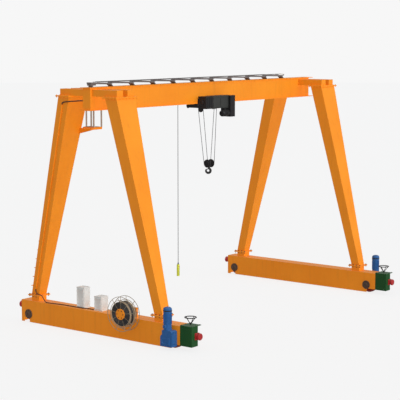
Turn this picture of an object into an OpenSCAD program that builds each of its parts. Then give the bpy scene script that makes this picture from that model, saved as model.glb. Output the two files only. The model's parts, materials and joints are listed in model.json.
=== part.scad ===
// Single-girder gantry crane on rails, with two A-shaped end frames and an underslung wire-rope hoist.
// Millimetres, +Z up. X runs along the girder, Y along the rails, and -Y is the driven end.
// The origin lies on the floor, under the middle of the whole crane.

/* [Span and girder] */
// Distance between the centres of the two end beams
span = 12000; // [11000:100:14000]
// Distance that the girder's ends pass the plates on the legs' heads
girder_over = 5; // [0:5:400]
// Width over the girder's web plates
girder_w = 330; // [300:5:360]
// Width of the girder's top and bottom flanges
flange_w = 450; // [430:5:480]
// Height of the girder over its flanges
girder_h = 760; // [740:5:900]
// Thickness of the girder's flanges
flange_t = 20; // [14:1:25]
// Distance that the webs stop short of the flange ends at the left
left_web_recess = 80; // [20:5:120]
// Distance that the webs stop short of the flange ends at the right
right_web_recess = 215; // [20:5:240]

/* [Legs] */
// Distance of each leg's foot from the girder's axis
foot_y = 2790; // [2500:10:2850]
// Distance of each leg's head from the girder's axis
head_y = 1050; // [1000:10:1100]
// Length of a leg between its end plates, measured upright
leg_h = 6935; // [6500:5:7500]
// Width of a leg along the girder, at its foot
foot_w = 370; // [320:5:400]
// Width of a leg along the rails, at its foot
foot_t = 345; // [300:5:380]
// Width of a leg along the girder, at its head
head_w = 935; // [800:5:980]
// Width of a leg along the rails, at its head
head_t = 485; // [400:5:500]
// Side of the square plates at a leg's foot
foot_plate = 540; // [520:2:640]
// Length along the girder of the plates at a leg's head
head_plate_x = 1100; // [1060:5:1200]
// Length along the rails of the plates at a leg's head
head_plate_y = 600; // [560:5:660]
// Thickness of each of the bolted plates
plate_t = 20; // [12:1:30]

/* [Saddles] */
// Half length of a saddle along the rails
saddle_reach = 1265; // [1200:5:1300]
// Width over both boxes of a saddle
saddle_w = 810; // [700:5:850]
// Gap between the two boxes of a saddle
saddle_gap = 220; // [150:5:260]
// Height of a saddle's boxes
saddle_h = 220; // [180:5:240]

/* [End beams] */
// Width of an end beam
beam_w = 530; // [500:5:560]
// Height of an end beam
beam_h = 760; // [740:5:800]
// Height of the end beams' undersides above the floor
beam_clear = 30; // [20:1:60]
// Distance from the girder's axis to the end beams' driven ends
near_reach = 3745; // [3730:5:3900]
// Distance from the girder's axis to the end beams' other ends
far_reach = 3395; // [3390:5:3600]
// Thickness of the end beams' plates
beam_plate = 14; // [8:1:20]
// Height of the short stub that carries each leg
stub_h = 185; // [150:5:250]
// Height of the notch in the beam's side at each wheel
notch_h = 140; // [100:5:180]
// Distance from a beam's end to the inner edge of the notch at its wheel
notch_len = 390; // [340:5:420]
// Length of the end plate's foot beside the notch at the end without a drive
notch_inset = 135; // [60:5:160]

/* [Wheels] */
// Diameter of a travel wheel over its flanges
wheel_d = 630; // [600:5:660]
// Distance of the driven wheels' axles from their ends of the beams
near_wheel_inset = 400; // [390:5:450]
// Distance of the other wheels' axles from their ends of the beams
far_wheel_inset = 350; // [340:5:400]
// Width of a wheel over its flanges
wheel_w = 140; // [110:5:180]
// Thickness of each wheel flange
wheel_flange_t = 22; // [15:1:30]
// Height of a wheel flange above the tread
wheel_flange_h = 25; // [15:1:30]
// Diameter of a wheel's axle
axle_d = 90; // [70:1:110]
// Diameter of the round covers over the wheel bearings
cover_d = 330; // [290:5:350]
// Thickness of a bearing cover
cover_t = 28; // [15:1:40]
// Diameter of the bearing bosses in the beam's sides
boss_d = 200; // [160:5:240]

/* [Travel drives] */
// Distance of the gearbox's middle beyond the wheel's axle
gearbox_offset = 45; // [20:5:60]
// Depth of a drive's gearbox, out from the beam
gearbox_x = 280; // [240:5:320]
// Width of a drive's gearbox along the rail
gearbox_y = 465; // [420:5:480]
// Height of a drive's gearbox
gearbox_h = 520; // [460:5:540]
// Height of the gearbox's underside above the floor
gearbox_clear = 125; // [80:5:150]
// Distance of the motor's axis from the gearbox's middle, towards the legs
motor_shift = 37; // [0:1:50]
// Diameter of a drive motor
motor_d = 280; // [240:5:290]
// Height of a drive motor with its domed cowl
motor_h = 745; // [600:5:800]

/* [Rail clamps] */
// Width of a rail clamp's box
clamp_x = 320; // [280:5:340]
// Length of a rail clamp's box along the rail
clamp_y = 475; // [440:5:500]
// Height of a rail clamp's box
clamp_h = 665; // [600:5:690]
// Height of a rail clamp's underside above the floor
clamp_clear = 160; // [120:5:180]
// Width of the plate on top of a rail clamp
clamp_lid_x = 485; // [440:5:500]
// Thickness of the plate on top of a rail clamp
clamp_lid_t = 16; // [10:1:25]
// Distance of the clamp's screw from the end of its beam
screw_at = 220; // [180:5:240]
// Diameter of a rail clamp's handwheel
handwheel_d = 400; // [350:5:420]
// Thickness of a handwheel's rim
rim_t = 32; // [20:1:36]
// Height of a handwheel's rim above the clamp's lid
rim_rise = 244; // [200:2:260]
// Diameter of a handwheel's shaft
shaft_d = 34; // [24:1:40]

/* [Buffers] */
// Diameter of a rubber buffer
buffer_d = 230; // [180:5:250]
// Length of a rubber buffer at the driven end
near_buffer_len = 165; // [140:5:300]
// Length of a rubber buffer at the other end
far_buffer_len = 290; // [200:5:320]
// Height of the buffers' axes above the floor, at the driven end
near_buffer_z = 485; // [450:5:600]
// Height of the buffers' axes above the floor, at the other end
far_buffer_z = 560; // [450:5:600]

/* [Cable reel] */
// Distance of the reel's axis from the girder's axis
reel_y = 1500; // [1450:5:1550]
// Height of the reel's axis above the floor
reel_z = 940; // [920:5:1000]
// Diameter of the cable wound on the reel
winding_d = 780; // [600:5:785]
// Distance between the outer sides of the reel's two flanges
reel_w = 288; // [240:2:300]
// Diameter of the reel's core
core_d = 240; // [200:5:280]
// Diameter of the reel's round front housing
reel_hub_d = 360; // [320:5:400]
// Thickness of the reel's round front housing
reel_hub_t = 28; // [16:1:60]
// Diameter of the band that closes each flange round the wound cable
rim_d = 820; // [815:5:840]
// Width of that band
rim_w = 50; // [30:1:70]
// Diameter of each flange's inner ring
inner_ring_d = 920; // [880:5:960]
// Diameter of each flange's outer ring
outer_ring_d = 1160; // [1060:5:1200]
// Width of the flanges' flat rings and spokes
ring_w = 16; // [10:1:24]
// Thickness of the flanges' rings and spokes
ring_t = 10; // [6:1:14]
// Number of spokes in each flange
spokes = 9; // [6:1:12]
// Gap between the reel and the beam's side
reel_gap = 20; // [15:1:45]
// Diameter of the reel's shaft
reel_shaft_d = 60; // [45:1:75]
// Length of the reel's shaft, up to its end in the stand
reel_shaft_len = 270; // [240:5:300]
// Distance from the end beam's middle to the reel's stand
stand_at = 100; // [80:5:130]

/* [Cabinets] */
// Distance of the cabinets' fronts from the beam's middle
cab_front = 100; // [80:5:120]
// Width of the tall cabinet across the beam
tall_cab_x = 300; // [250:5:340]
// Length of the tall cabinet along the beam
tall_cab_y = 335; // [250:5:350]
// Height of the tall cabinet
tall_cab_h = 700; // [550:5:750]
// Distance of the tall cabinet's middle from the girder's axis
tall_cab_at = 730; // [700:5:800]
// Width of the low cabinet across the beam
low_cab_x = 330; // [200:5:350]
// Length of the low cabinet along the beam
low_cab_y = 320; // [200:5:340]
// Height of the low cabinet
low_cab_h = 475; // [400:5:550]
// Distance of the low cabinet's middle from the girder's axis, towards the driven end
low_cab_at = 69; // [0:1:100]

/* [Access] */
// Upright distance between the step irons
step_pitch = 320; // [280:5:340]
// Width of a step iron
step_w = 330; // [280:5:350]
// Distance that a step iron stands out from the leg
step_out = 120; // [90:5:150]
// Thickness of a step iron's bar
step_t = 20; // [16:1:25]
// Distance of the lowest step iron above the leg's foot
step_first = 300; // [200:10:400]
// Diameter of the conduit on the leg
conduit_d = 42; // [30:1:60]
// Distance of the conduit's lower end above the leg's foot
conduit_low = 215; // [210:5:240]
// Distance of the conduit's upper end below the leg's head
conduit_high = 260; // [220:5:300]
// Diameter of the cable on the end beam
cable_d = 34; // [24:1:35]
// Radius of that cable's bends at the leg's foot
cable_bend = 142; // [140:1:143]
// Diameter of the cable between the girder and the leg
girder_cable_d = 42; // [30:1:42]
// Length of the service platform along the girder
platform_x = 420; // [400:5:450]
// Length of the service platform along the rails
platform_y = 505; // [450:5:550]
// Distance of the platform from the end beam's middle
platform_at = 480; // [475:5:520]
// Distance of the platform's outer edge from the girder's axis
platform_far = 1075; // [1000:5:1080]
// Distance from the legs' heads down to the platform's floor
platform_drop = 1057; // [950:1:1250]
// Height of the platform's hand rail
rail_h = 1000; // [900:10:1050]
// Height of the platform's middle rail
mid_rail_h = 620; // [450:10:700]
// Thickness of the platform's posts and rails
post_t = 40; // [30:1:45]

/* [Cable track] */
// Width of the flat cable track on the girder
track_w = 200; // [150:5:260]
// Thickness of the track's trays
track_t = 54; // [40:2:80]
// Height above the girder of a tray's underside, at its high end
track_high = 108; // [90:2:150]
// Height above the girder of a tray's underside, at its low end
track_low = 70; // [50:2:88]
// Number of trays in the track
track_count = 10; // [8:1:14]
// Distance from the girder's left end to the cable track
track_left_gap = 195; // [100:5:300]
// Distance from the cable track to the girder's right end
track_right_gap = 1855; // [1500:5:2200]

/* [Hoist trolley] */
// Length of the trolley's frame below the girder
trolley_len = 1620; // [1500:10:2400]
// Place of the trolley's middle along the girder, at rest
trolley_at = -101; // [-1000:1:1000]
// Thickness of the trolley's side plates
cheek_t = 24; // [16:1:30]
// Gap between the trolley's side plates and the girder's flange
cheek_gap = 12; // [8:1:20]
// Thickness of the trolley's frame below the girder
frame_t = 140; // [80:5:160]
// Gap between the girder's underside and the trolley's frame
frame_gap = 10; // [10:1:20]
// Diameter of the trolley's wheels
trolley_wheel_d = 140; // [120:5:160]
// Distance of the hoist's boxes' outer faces from the girder's axis
hoist_reach = 610; // [560:5:660]
// Distance that the hoist's gearbox stands out beyond its boxes
gear_out = 90; // [40:5:120]
// Length of the rope drum's housing
drum_box_len = 424; // [380:2:700]
// Height of the hoist's boxes
hoist_box_h = 447; // [400:1:500]
// Height of the hoist's underside below the girder's underside
hoist_drop = 180; // [175:1:200]
// Length of the hoist's gearbox
hoist_gear_len = 280; // [250:5:450]
// Height of the hoist's gearbox
hoist_gear_h = 777; // [750:1:850]
// Diameter of the hoist motor
hoist_motor_d = 230; // [200:5:235]
// Length of the hoist motor
hoist_motor_len = 386; // [350:2:420]
// Thickness of the sheave below the hoist
upper_sheave_t = 40; // [30:1:50]

/* [Hook block] */
// Distance from the girder's underside to the top of the hook block, at rest
hook_drop = 2030; // [1900:10:4500]
// Distance between the two rope falls at a sheave of the hook block
falls_gap = 296; // [280:2:320]
// Depth of the crosshead between the hook block's sheaves
block_y = 130; // [110:5:160]
// Thickness of each cheek beside a sheave
block_cheek = 10; // [8:1:16]
// Width of the slot in the hook block for each sheave
sheave_slot = 36; // [34:2:50]
// Height of the hook block
block_h = 280; // [270:5:320]
// Distance between the two rope falls at the sheave below the hoist
sheave_falls = 220; // [200:2:240]
// Distance between the two rope falls at the rope drum
drum_falls = 110; // [90:2:140]
// Distance from the trolley's middle to the hook, towards the reel
block_offset = 284; // [260:2:300]
// Distance from the trolley's left end to the rope falls at the sheave
ropes_inset = 36; // [30:1:60]
// Distance of the ropes from the girder's axis
ropes_reach = 350; // [340:5:380]
// Diameter of the hook's shank
shank_d = 60; // [50:1:70]
// Inner radius of the hook's bowl
hook_r = 42; // [36:1:60]
// Thickness of the hook's bowl
hook_t = 76; // [50:1:80]
// Turn of the hook on its shank
hook_turn = -52; // [-180:1:180]
// Distance of the bowl's middle from the shank's axis
hook_shift = 30; // [0:1:36]
// Diameter of the hoist rope
rope_d = 16; // [10:1:20]
// Distance between the two pairs of rope falls, at the trolley
upper_pair = 860; // [800:5:900]
// Distance between the two sheaves of the hook block
lower_pair = 220; // [200:5:260]

/* [Pendant] */
// Distance from the trolley's middle to the pendant, towards the reel
pendant_offset = 1212; // [1100:1:1300]
// Height of the pendant box above the floor
pendant_z = 1250; // [1100:10:1400]
// Diameter of the pendant's cable
pendant_d = 20; // [14:1:26]
// Distance of the pendant's cable from the girder's axis
pendant_y = 350; // [330:5:400]
// Width of the pendant's control box
pendant_w = 90; // [70:2:110]
// Depth of the pendant's control box
pendant_t = 75; // [60:1:90]
// Height of the pendant's control box
pendant_h = 460; // [400:5:500]

/* [Clearances] */
// Radial clearance of each shaft in its bore
running_fit = 0.05; // [0.02:0.01:0.09]
// Gap between seated pieces that don't share a body
seat_gap = 0.3; // [0.2:0.1:0.5]

/* [Hidden] */

paint = "orange";
half_span = span / 2;
girder_len = span + head_plate_x + 2 * girder_over;
near_wheel_y = near_reach - near_wheel_inset;
far_wheel_y = far_reach - far_wheel_inset;
beam_top = beam_clear + beam_h;
leg_foot_z = beam_top + stub_h + 2 * plate_t;
leg_head_z = leg_foot_z + leg_h;
saddle_z = leg_head_z + 2 * plate_t;
platform_z = leg_head_z - platform_drop;
reel_front = half_span + beam_w / 2 + reel_gap + reel_w + reel_hub_t;
gearbox_front = half_span + beam_w / 2 + gearbox_x;
shift_x = (max(reel_front, girder_len / 2) - max(gearbox_front, girder_len / 2)) / 2;
shift_y = (near_reach + clamp_y + near_buffer_len - far_reach - far_buffer_len) / 2;
girder_top = saddle_z + saddle_h + 70;
girder_z = girder_top - girder_h;
axle_z = wheel_d / 2;
lean = (foot_y - head_y) / leg_h;

// The outer side of a left leg, z above its foot
function left_side(z) = -half_span - (foot_w + (head_w - foot_w) * z / leg_h) / 2;

// Puts the middle of the whole crane on the origin
module placed() {
    translate([shift_x, shift_y, 0]) children();
}

// A straight tapered box from one rectangle to another, each given as [x, y, width, depth, z]
module tapered_box(low, high) {
    function corners(r) = [for (s = [[-1, -1], [1, -1], [1, 1], [-1, 1]])
        [r[0] + s[0] * r[2] / 2, r[1] + s[1] * r[3] / 2, r[4]]];
    polyhedron(
        points = concat(corners(low), corners(high)),
        faces = [[0, 1, 2, 3], [7, 6, 5, 4], [0, 4, 5, 1], [1, 5, 6, 2], [2, 6, 7, 3], [3, 7, 4, 0]]);
}

// A box given by its middle in X and Y, its underside and its size
module block(x, y, z, size) {
    translate([x - size[0] / 2, y - size[1] / 2, z]) cube(size);
}

// A cylinder along X, given by its middle
module rod_x(x, y, z, d, len) {
    translate([x - len / 2, y, z]) rotate([0, 90, 0]) cylinder(d = d, h = len, $fn = 48);
}

// A cylinder along Y, given by its middle
module rod_y(x, y, z, d, len) {
    translate([x, y + len / 2, z]) rotate([90, 0, 0]) cylinder(d = d, h = len, $fn = 48);
}

// A round bar between two points
module bar(a, b, d, sides = 24) {
    v = b - a;
    len = norm(v);
    translate(a) rotate([0, acos(v[2] / len), atan2(v[1], v[0])]) cylinder(d = d, h = len, $fn = sides);
}

module main_girder() color(paint) {
    half = girder_len / 2;
    web_len = girder_len - left_web_recess - right_web_recess;
    block(0, 0, girder_z, [girder_len, flange_w, flange_t]);
    block(0, 0, girder_top - flange_t, [girder_len, flange_w, flange_t]);
    translate([-half + left_web_recess, -girder_w / 2, girder_z + flange_t])
        cube([web_len, girder_w, girder_h - 2 * flange_t]);
}

// Two boxes on each side of the girder at each end, on the plates that lie on the legs' heads
module saddles() color(paint) {
    box_w = (saddle_w - saddle_gap) / 2;
    box_y = saddle_reach - girder_w / 2;
    for (x = [-half_span, half_span], side = [-1, 1]) {
        y = side * (girder_w / 2 + box_y / 2);
        for (row = [-1, 1])
            block(x + row * (saddle_gap + box_w) / 2, y, saddle_z, [box_w, box_y, saddle_h]);
        block(x, side * head_y, saddle_z - plate_t, [head_plate_x, head_plate_y, plate_t]);
    }
}

module leg(x, side) color(paint) {
    tapered_box([x, side * foot_y, foot_w, foot_t, leg_foot_z],
        [x, side * head_y, head_w, head_t, leg_head_z]);
    block(x, side * foot_y, leg_foot_z - plate_t, [foot_plate, foot_plate, plate_t]);
    block(x, side * head_y, leg_head_z, [head_plate_x, head_plate_y, plate_t]);
}

// A box beam with a bay for the wheel at each end, and a stub with a plate under each leg
module end_beam(x) color(paint) {
    bay_w = beam_w - 2 * beam_plate;
    wheel_bay = wheel_d + 80;
    difference() {
        translate([x - beam_w / 2, -near_reach, beam_clear]) cube([beam_w, near_reach + far_reach, beam_h]);
        for (end = [[-near_wheel_y, -near_reach, 1, -10], [far_wheel_y, far_reach, -1, notch_inset]]) {
            inner = end[1] + end[2] * beam_plate;
            outer = end[0] + end[2] * wheel_bay / 2;
            bay_h = beam_h - beam_plate + 1;
            block(x, (inner + outer) / 2, beam_clear - 1, [bay_w, abs(outer - inner), bay_h]);
            block(x, end[1] + end[2] * (notch_len + end[3]) / 2, beam_clear - 1,
                [beam_w + 2, notch_len - end[3], notch_h + 1]);
            rod_x(x, end[0], axle_z, boss_d + 2 * running_fit, beam_w + 2);
        }
    }
    for (side = [-1, 1]) {
        block(x, side * foot_y, beam_top, [foot_w, foot_t, stub_h]);
        block(x, side * foot_y, beam_top + stub_h, [foot_plate, foot_plate, plate_t]);
    }
}

// A boss in the beam's side that carries the axle; out is the side that it faces
module bearing_boss(x, y, out) {
    reach = beam_w / 2 - wheel_w / 2 - 20;
    rod_x(x + out * (beam_w / 2 - reach / 2), y, axle_z, boss_d, reach);
}

module axle_bore(x, y, out) {
    rod_x(x + out * beam_w / 2, y, axle_z, axle_d + 2 * running_fit, 2 * (beam_w / 2 - wheel_w / 2));
}

module axle_covers() color("dimgray")
    for (place = [
        [-half_span, -near_wheel_y, 1], [-half_span, far_wheel_y, -1], [-half_span, far_wheel_y, 1],
        [half_span, -near_wheel_y, -1], [half_span, far_wheel_y, -1], [half_span, far_wheel_y, 1]
    ])
        difference() {
            union() {
                bearing_boss(place[0], place[1], place[2]);
                rod_x(place[0] + place[2] * (beam_w + cover_t) / 2, place[1], axle_z, cover_d, cover_t);
            }
            intersection() {
                axle_bore(place[0], place[1], place[2]);
                block(place[0], place[1], 0, [beam_w, wheel_d, wheel_d]);
            }
        }

// A wheel with two flanges, turned in one piece with its axle
module wheel(x, y) color("firebrick") {
    r = wheel_d / 2;
    tread = r - wheel_flange_h;
    half = wheel_w / 2;
    inner = half - wheel_flange_t;
    hub = axle_d;
    end = beam_w / 2 - 5;
    translate([x, y, axle_z]) rotate([0, 90, 0]) rotate_extrude($fn = 96) polygon([
        [0, -end], [axle_d / 2, -end], [axle_d / 2, -half], [hub, -half], [hub, -inner + 10],
        [tread - 40, -inner + 10], [tread - 40, -half], [r - 6, -half], [r, -half + 6], [r, -inner - 4],
        [r - 4, -inner], [tread, -inner], [tread, inner], [r - 4, inner], [r, inner + 4],
        [r, half - 6], [r - 6, half], [tread - 40, half], [tread - 40, inner - 10],
        [hub, inner - 10], [hub, half], [axle_d / 2, half], [axle_d / 2, end], [0, end]
    ]);
}

// The gearbox hangs on the axle's end, outside the beam
module drive_gearbox(side) color("steelblue") {
    x = side * half_span;
    face = side * (half_span + beam_w / 2);
    y = -near_wheel_y - gearbox_offset;
    top = gearbox_clear + gearbox_h;
    difference() {
        union() {
            bearing_boss(x, -near_wheel_y, side);
            translate([face + (side > 0 ? 0 : -gearbox_x), 0, 0])
                rotate([90, 0, 90]) linear_extrude(gearbox_x) polygon([
                    [y - gearbox_y / 2, gearbox_clear], [y + gearbox_y / 2, gearbox_clear],
                    [y + gearbox_y / 2, top - 200], [y + gearbox_y / 2 - 75, top - 125],
                    [y + motor_shift + motor_d / 2 - 10, top], [y - gearbox_y / 2 + 40, top],
                    [y - gearbox_y / 2, top - 40]
                ]);
        }
        intersection() {
            axle_bore(x, -near_wheel_y, side);
            block(x, -near_wheel_y, 0, [beam_w, wheel_d, wheel_d]);
        }
    }
}

// A finned motor that stands on the gearbox, with a domed cowl
module drive_motor(side) color("royalblue") {
    x = side * (half_span + beam_w / 2 + gearbox_x / 2);
    y = -near_wheel_y - gearbox_offset + motor_shift;
    z = gearbox_clear + gearbox_h;
    r = motor_d / 2;
    translate([x, y, z]) rotate_extrude($fn = 64) polygon([
        [0, 0], [r - 4, 0], [r - 4, 30], [r - 10, 40], [r - 10, motor_h - 190],
        [r, motor_h - 180], [r, motor_h - 60], [r - 16, motor_h - 26], [r - 60, motor_h], [0, motor_h]
    ]);
}

// A closed box at the beam's driven end, with a lid and a socket for the screw
module clamp_box(x) color("darkgreen") {
    left = x - beam_w / 2;
    out = near_reach + clamp_y;
    lid_z = clamp_clear + clamp_h - clamp_lid_t;
    difference() {
        union() {
            translate([left, -out, clamp_clear]) cube([clamp_x, clamp_y, clamp_h - clamp_lid_t]);
            translate([left, -out - 10, lid_z]) cube([clamp_lid_x, clamp_y + 10, clamp_lid_t]);
        }
        translate([x, -near_reach - screw_at, lid_z - 144])
            cylinder(d = shaft_d + 2 * running_fit, h = 200, $fn = 48);
    }
}

// A handwheel with spokes that rise from its hub to the rim
module handwheel(x) color("black") {
    y = -near_reach - screw_at;
    lid = clamp_clear + clamp_h;
    ring = (handwheel_d - rim_t) / 2;
    translate([x, y, lid]) {
        translate([0, 0, -150]) cylinder(d = shaft_d, h = 150 + 75, $fn = 48);
        translate([0, 0, seat_gap]) cylinder(d = shaft_d * 1.3, h = 44, $fn = 48);
        translate([0, 0, rim_rise]) rotate_extrude($fn = 96) translate([ring, 0]) circle(d = rim_t, $fn = 24);
        for (turn = [0 : 90 : 270])
            rotate(turn) bar([8, 0, 24], [ring, 0, rim_rise], 24);
    }
}

// Round rubber buffers on square base plates, at both ends of both beams
module buffers() color("crimson")
    for (x = [-half_span, half_span], end = [
        [-near_reach - clamp_y, near_buffer_z, near_buffer_len, 90],
        [far_reach, far_buffer_z, far_buffer_len, -90]
    ])
        translate([x, end[0], end[1]]) rotate([end[3], 0, 0]) rotate_extrude($fn = 64) polygon([
            [0, 0], [buffer_d / 2, 0], [buffer_d / 2, 24], [buffer_d / 2 - 16, 24],
            [buffer_d / 2 - 16, end[2] - 70], [buffer_d / 2, end[2] - 56],
            [buffer_d / 2, end[2] - 22], [buffer_d / 2 - 20, end[2]], [0, end[2]]
        ]);

module cabinets() color("gainsboro") {
    front = -half_span - cab_front;
    block(front + tall_cab_x / 2, tall_cab_at, beam_top, [tall_cab_x, tall_cab_y, tall_cab_h]);
    block(front + low_cab_x / 2, -low_cab_at, beam_top, [low_cab_x, low_cab_y, low_cab_h]);
}

// Turns a piece onto the reel's axis; at runs inwards from the reel's rear side
module reel_x(at) {
    translate([-half_span - beam_w / 2 - reel_gap + at, -reel_y, reel_z]) rotate([0, 90, 0]) children();
}

// The upright on the beam that carries the reel's shaft
module reel_stand() color(paint) {
    x = -half_span - stand_at;
    difference() {
        union() {
            block(x, -reel_y - 40, beam_top, [240, 560, 14]);
            block(x, -reel_y - 40, beam_top + 14, [80, 540, reel_z - beam_top + 166]);
            rod_x(x + 40, -reel_y, reel_z, 140, 180);
        }
        reel_x(0) cylinder(d = reel_shaft_d + 2 * running_fit, h = reel_shaft_len + 5, $fn = 48);
    }
}

// A flat ring round the reel's axis
module flat_ring(d, width, t) {
    difference() {
        cylinder(d = d, h = t, $fn = 120);
        translate([0, 0, -1]) cylinder(d = d - 2 * width, h = t + 2, $fn = 120);
    }
}

// The reel's core, shaft and two flanges of flat rings on spokes
module reel_drum() color("silver") {
    inner = core_d / 2 - 10;
    reel_x(-reel_w) cylinder(d = core_d, h = reel_w, $fn = 64);
    reel_x(-1) cylinder(d = reel_shaft_d, h = reel_shaft_len + 1, $fn = 48);
    for (side = [[3 - reel_w, 2 - reel_w], [-ring_t - 3, -rim_w - 2]]) {
        reel_x(side[1]) flat_ring(rim_d, 12, rim_w);
        for (ring_d = [inner_ring_d, outer_ring_d])
            reel_x(side[0]) flat_ring(ring_d, ring_w, ring_t);
        for (n = [0 : spokes - 1])
            reel_x(side[0] + 1) rotate(180 + n * 360 / spokes) translate([inner, -ring_w / 2, 0])
                cube([outer_ring_d / 2 - 6 - inner, ring_w, ring_t - 2]);
    }
}

module reel_hub() color(paint)
    reel_x(-reel_w - reel_hub_t) cylinder(d = reel_hub_d, h = reel_hub_t, $fn = 64);

module reel_winding() color("black")
    reel_x(-reel_w + ring_t + 4) difference() {
        cylinder(d = winding_d, h = reel_w - 2 * ring_t - 8, $fn = 96);
        translate([0, 0, -1]) cylinder(d = core_d + 2 * seat_gap, h = reel_w, $fn = 64);
    }

// The tapered box of a leg alone, without its plates
module leg_box(x, side) {
    tapered_box([x, side * foot_y, foot_w, foot_t, leg_foot_z],
        [x, side * head_y, head_w, head_t, leg_head_z]);
}

// U-shaped step irons on the outer face of the left far leg
module step_irons() color(paint) {
    count = floor((leg_h - 2 * step_first) / step_pitch);
    difference() {
        for (n = [0 : count]) {
            z = step_first + n * step_pitch;
            t = foot_t + (head_t - foot_t) * z / leg_h;
            y = foot_y - lean * z + t / 2;
            at = leg_foot_z + z;
            for (side = [-1, 1])
                rod_y(-half_span + side * (step_w - step_t) / 2, y + step_out / 2 - 5, at,
                    step_t, step_out + 10);
            rod_x(-half_span, y + step_out - step_t / 2, at, step_t, step_w);
        }
        leg_box(-half_span, 1);
    }
}

// The conduit along the middle of the left far leg's outer side
function conduit_at(z) = [left_side(z) - conduit_d / 2, foot_y - lean * z, leg_foot_z + z];
conduit_bottom = conduit_at(conduit_low);
conduit_top = conduit_at(leg_h - conduit_high);
conduit_dir = (conduit_bottom - conduit_top) / norm(conduit_bottom - conduit_top);

module cable_conduit() color(paint)
    bar(conduit_bottom, conduit_top, conduit_d);

// Points of a bend of a degrees with radius r, from p in the direction u and turning towards v
function bend(p, u, v, r, a, n) = [for (k = [1 : n]) p + r * (sin(a * k / n) * u + (1 - cos(a * k / n)) * v)];

// A direction between u and v, a degrees from u
function turned(u, v, a) = cos(a) * u + sin(a) * v;

// From the conduit over the leg's foot plate, along the beam and past the tall cabinet to the low one
on_beam = beam_top + cable_d / 2 + 1;
along = [0, -1, 0];
aside = (along - (along * conduit_dir) * conduit_dir) / norm(along - (along * conduit_dir) * conduit_dir);
foot_turn = acos(conduit_dir * along);
foot_bend = bend(conduit_bottom + 14 * conduit_dir, conduit_dir, aside, cable_bend, foot_turn, 6);
plate_edge = foot_y - foot_plate / 2;
off_plate = [foot_bend[5][0], plate_edge + 20, foot_bend[5][2]];
drop_turn = 50;
drop_1 = bend(off_plate, along, [0, 0, -1], cable_bend, drop_turn, 3);
drop_dir = turned(along, [0, 0, -1], drop_turn);
drop_len = (off_plate[2] - on_beam - 2 * cable_bend * (1 - cos(drop_turn))) / sin(drop_turn);
drop_start = drop_1[2] + drop_len * drop_dir;
drop_2 = bend(drop_start, drop_dir, turned(along, [0, 0, -1], drop_turn - 90), cable_bend, drop_turn, 3);
cab_pass = -half_span - cab_front - 35;
side_turn = 30;
side_r = 150;
side_len = 40;
side_start = [cab_pass, tall_cab_at - tall_cab_y / 2 + 40, on_beam];
side_1 = bend(side_start, along, [1, 0, 0], side_r, side_turn, 3);
side_dir = turned(along, [1, 0, 0], side_turn);
side_out = side_1[2] + side_len * side_dir;
side_2 = bend(side_out, side_dir, turned(along, [1, 0, 0], side_turn - 90), side_r, side_turn, 3);
low_cab_far = low_cab_y / 2 - low_cab_at;
beam_run = [
    [-half_span - 203, 2100], [-half_span - 190, 1950], [-half_span - 165, 1800], [-half_span - 142, 1650],
    [-half_span - 130, 1470], [-half_span - 128, 1270], [-half_span - 131, 1070], [cab_pass, 880]
];
cable_route = concat([conduit_bottom + conduit_dir, conduit_bottom + 14 * conduit_dir], foot_bend,
    [off_plate], drop_1, [drop_start], drop_2,
    [for (p = beam_run) [p[0], p[1], on_beam]], [side_start], side_1, [side_out], side_2,
    [[side_2[2][0], low_cab_far + 1, on_beam]]);

// From the conduit's upper end along the leg's head to the girder's web
web_end = [conduit_top[0] + 42, girder_w / 2, conduit_top[2] + 150];
girder_cable_route = [
    conduit_top - conduit_dir, conduit_top - 36 * conduit_dir,
    conduit_top + [-12, -58, 74], [conduit_top[0] - 14, head_y - 110, conduit_top[2] + 92],
    [conduit_top[0] - 12, head_y - 350, conduit_top[2] + 116],
    [conduit_top[0] + 6, head_y - 600, conduit_top[2] + 134],
    web_end + [-14, 180, -6], web_end + [0, 70, 0], web_end + [0, 1, 0]
];

// A tube of so many sides swept along a route's points
module swept_tube(route, d, sides) {
    n = len(route);
    function tangent(i) = let(v = route[min(i + 1, n - 1)] - route[max(i - 1, 0)]) v / norm(v);
    function ring(i) = let(
            t = tangent(i),
            a = cross(t, [1, 0, 0]) / norm(cross(t, [1, 0, 0])),
            b = cross(t, a)
        ) [for (k = [0 : sides - 1])
            let(w = 360 * k / sides) route[i] + d / 2 * (cos(w) * a + sin(w) * b)];
    points = [for (i = [0 : n - 1]) each ring(i)];
    sides_faces = [for (i = [0 : n - 2], k = [0 : sides - 1])
        let(m = (k + 1) % sides) [i * sides + k, i * sides + m, (i + 1) * sides + m, (i + 1) * sides + k]];
    polyhedron(points = points, faces = concat(
        [[for (k = [sides - 1 : -1 : 0]) k]],
        [for (f = sides_faces) f],
        [[for (k = [0 : sides - 1]) (n - 1) * sides + k]]), convexity = 6);
}

module control_cable() color("saddlebrown")
    swept_tube(cable_route, cable_d, 10);

module girder_cable() color("saddlebrown")
    swept_tube(girder_cable_route, girder_cable_d, 12);

// A small floor on a bracket, at the head of the left far leg
platform_left = -half_span + platform_at;
module platform() color(paint) {
    low = platform_z - leg_foot_z;
    beam_y = platform_far - platform_y;
    leg_face = foot_y - lean * low - (foot_t + (head_t - foot_t) * low / leg_h) / 2;
    x = platform_left + platform_x / 2;
    difference() {
        union() {
            block(x, platform_far - platform_y / 2, platform_z - 30, [platform_x, platform_y, 30]);
            translate([platform_left - 145, 0, 0]) rotate([90, 0, 90]) linear_extrude(50) polygon([
                [leg_face + 25, platform_z - 31], [leg_face + 80, platform_z - 230],
                [beam_y, platform_z - 90], [beam_y, platform_z - 31]
            ]);
            for (y = [beam_y + 5, platform_far - 65])
                translate([platform_left - 120, y, platform_z - 80]) cube([platform_x + 110, 60, 51]);
        }
        leg_box(-half_span, 1);
    }
}

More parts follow.
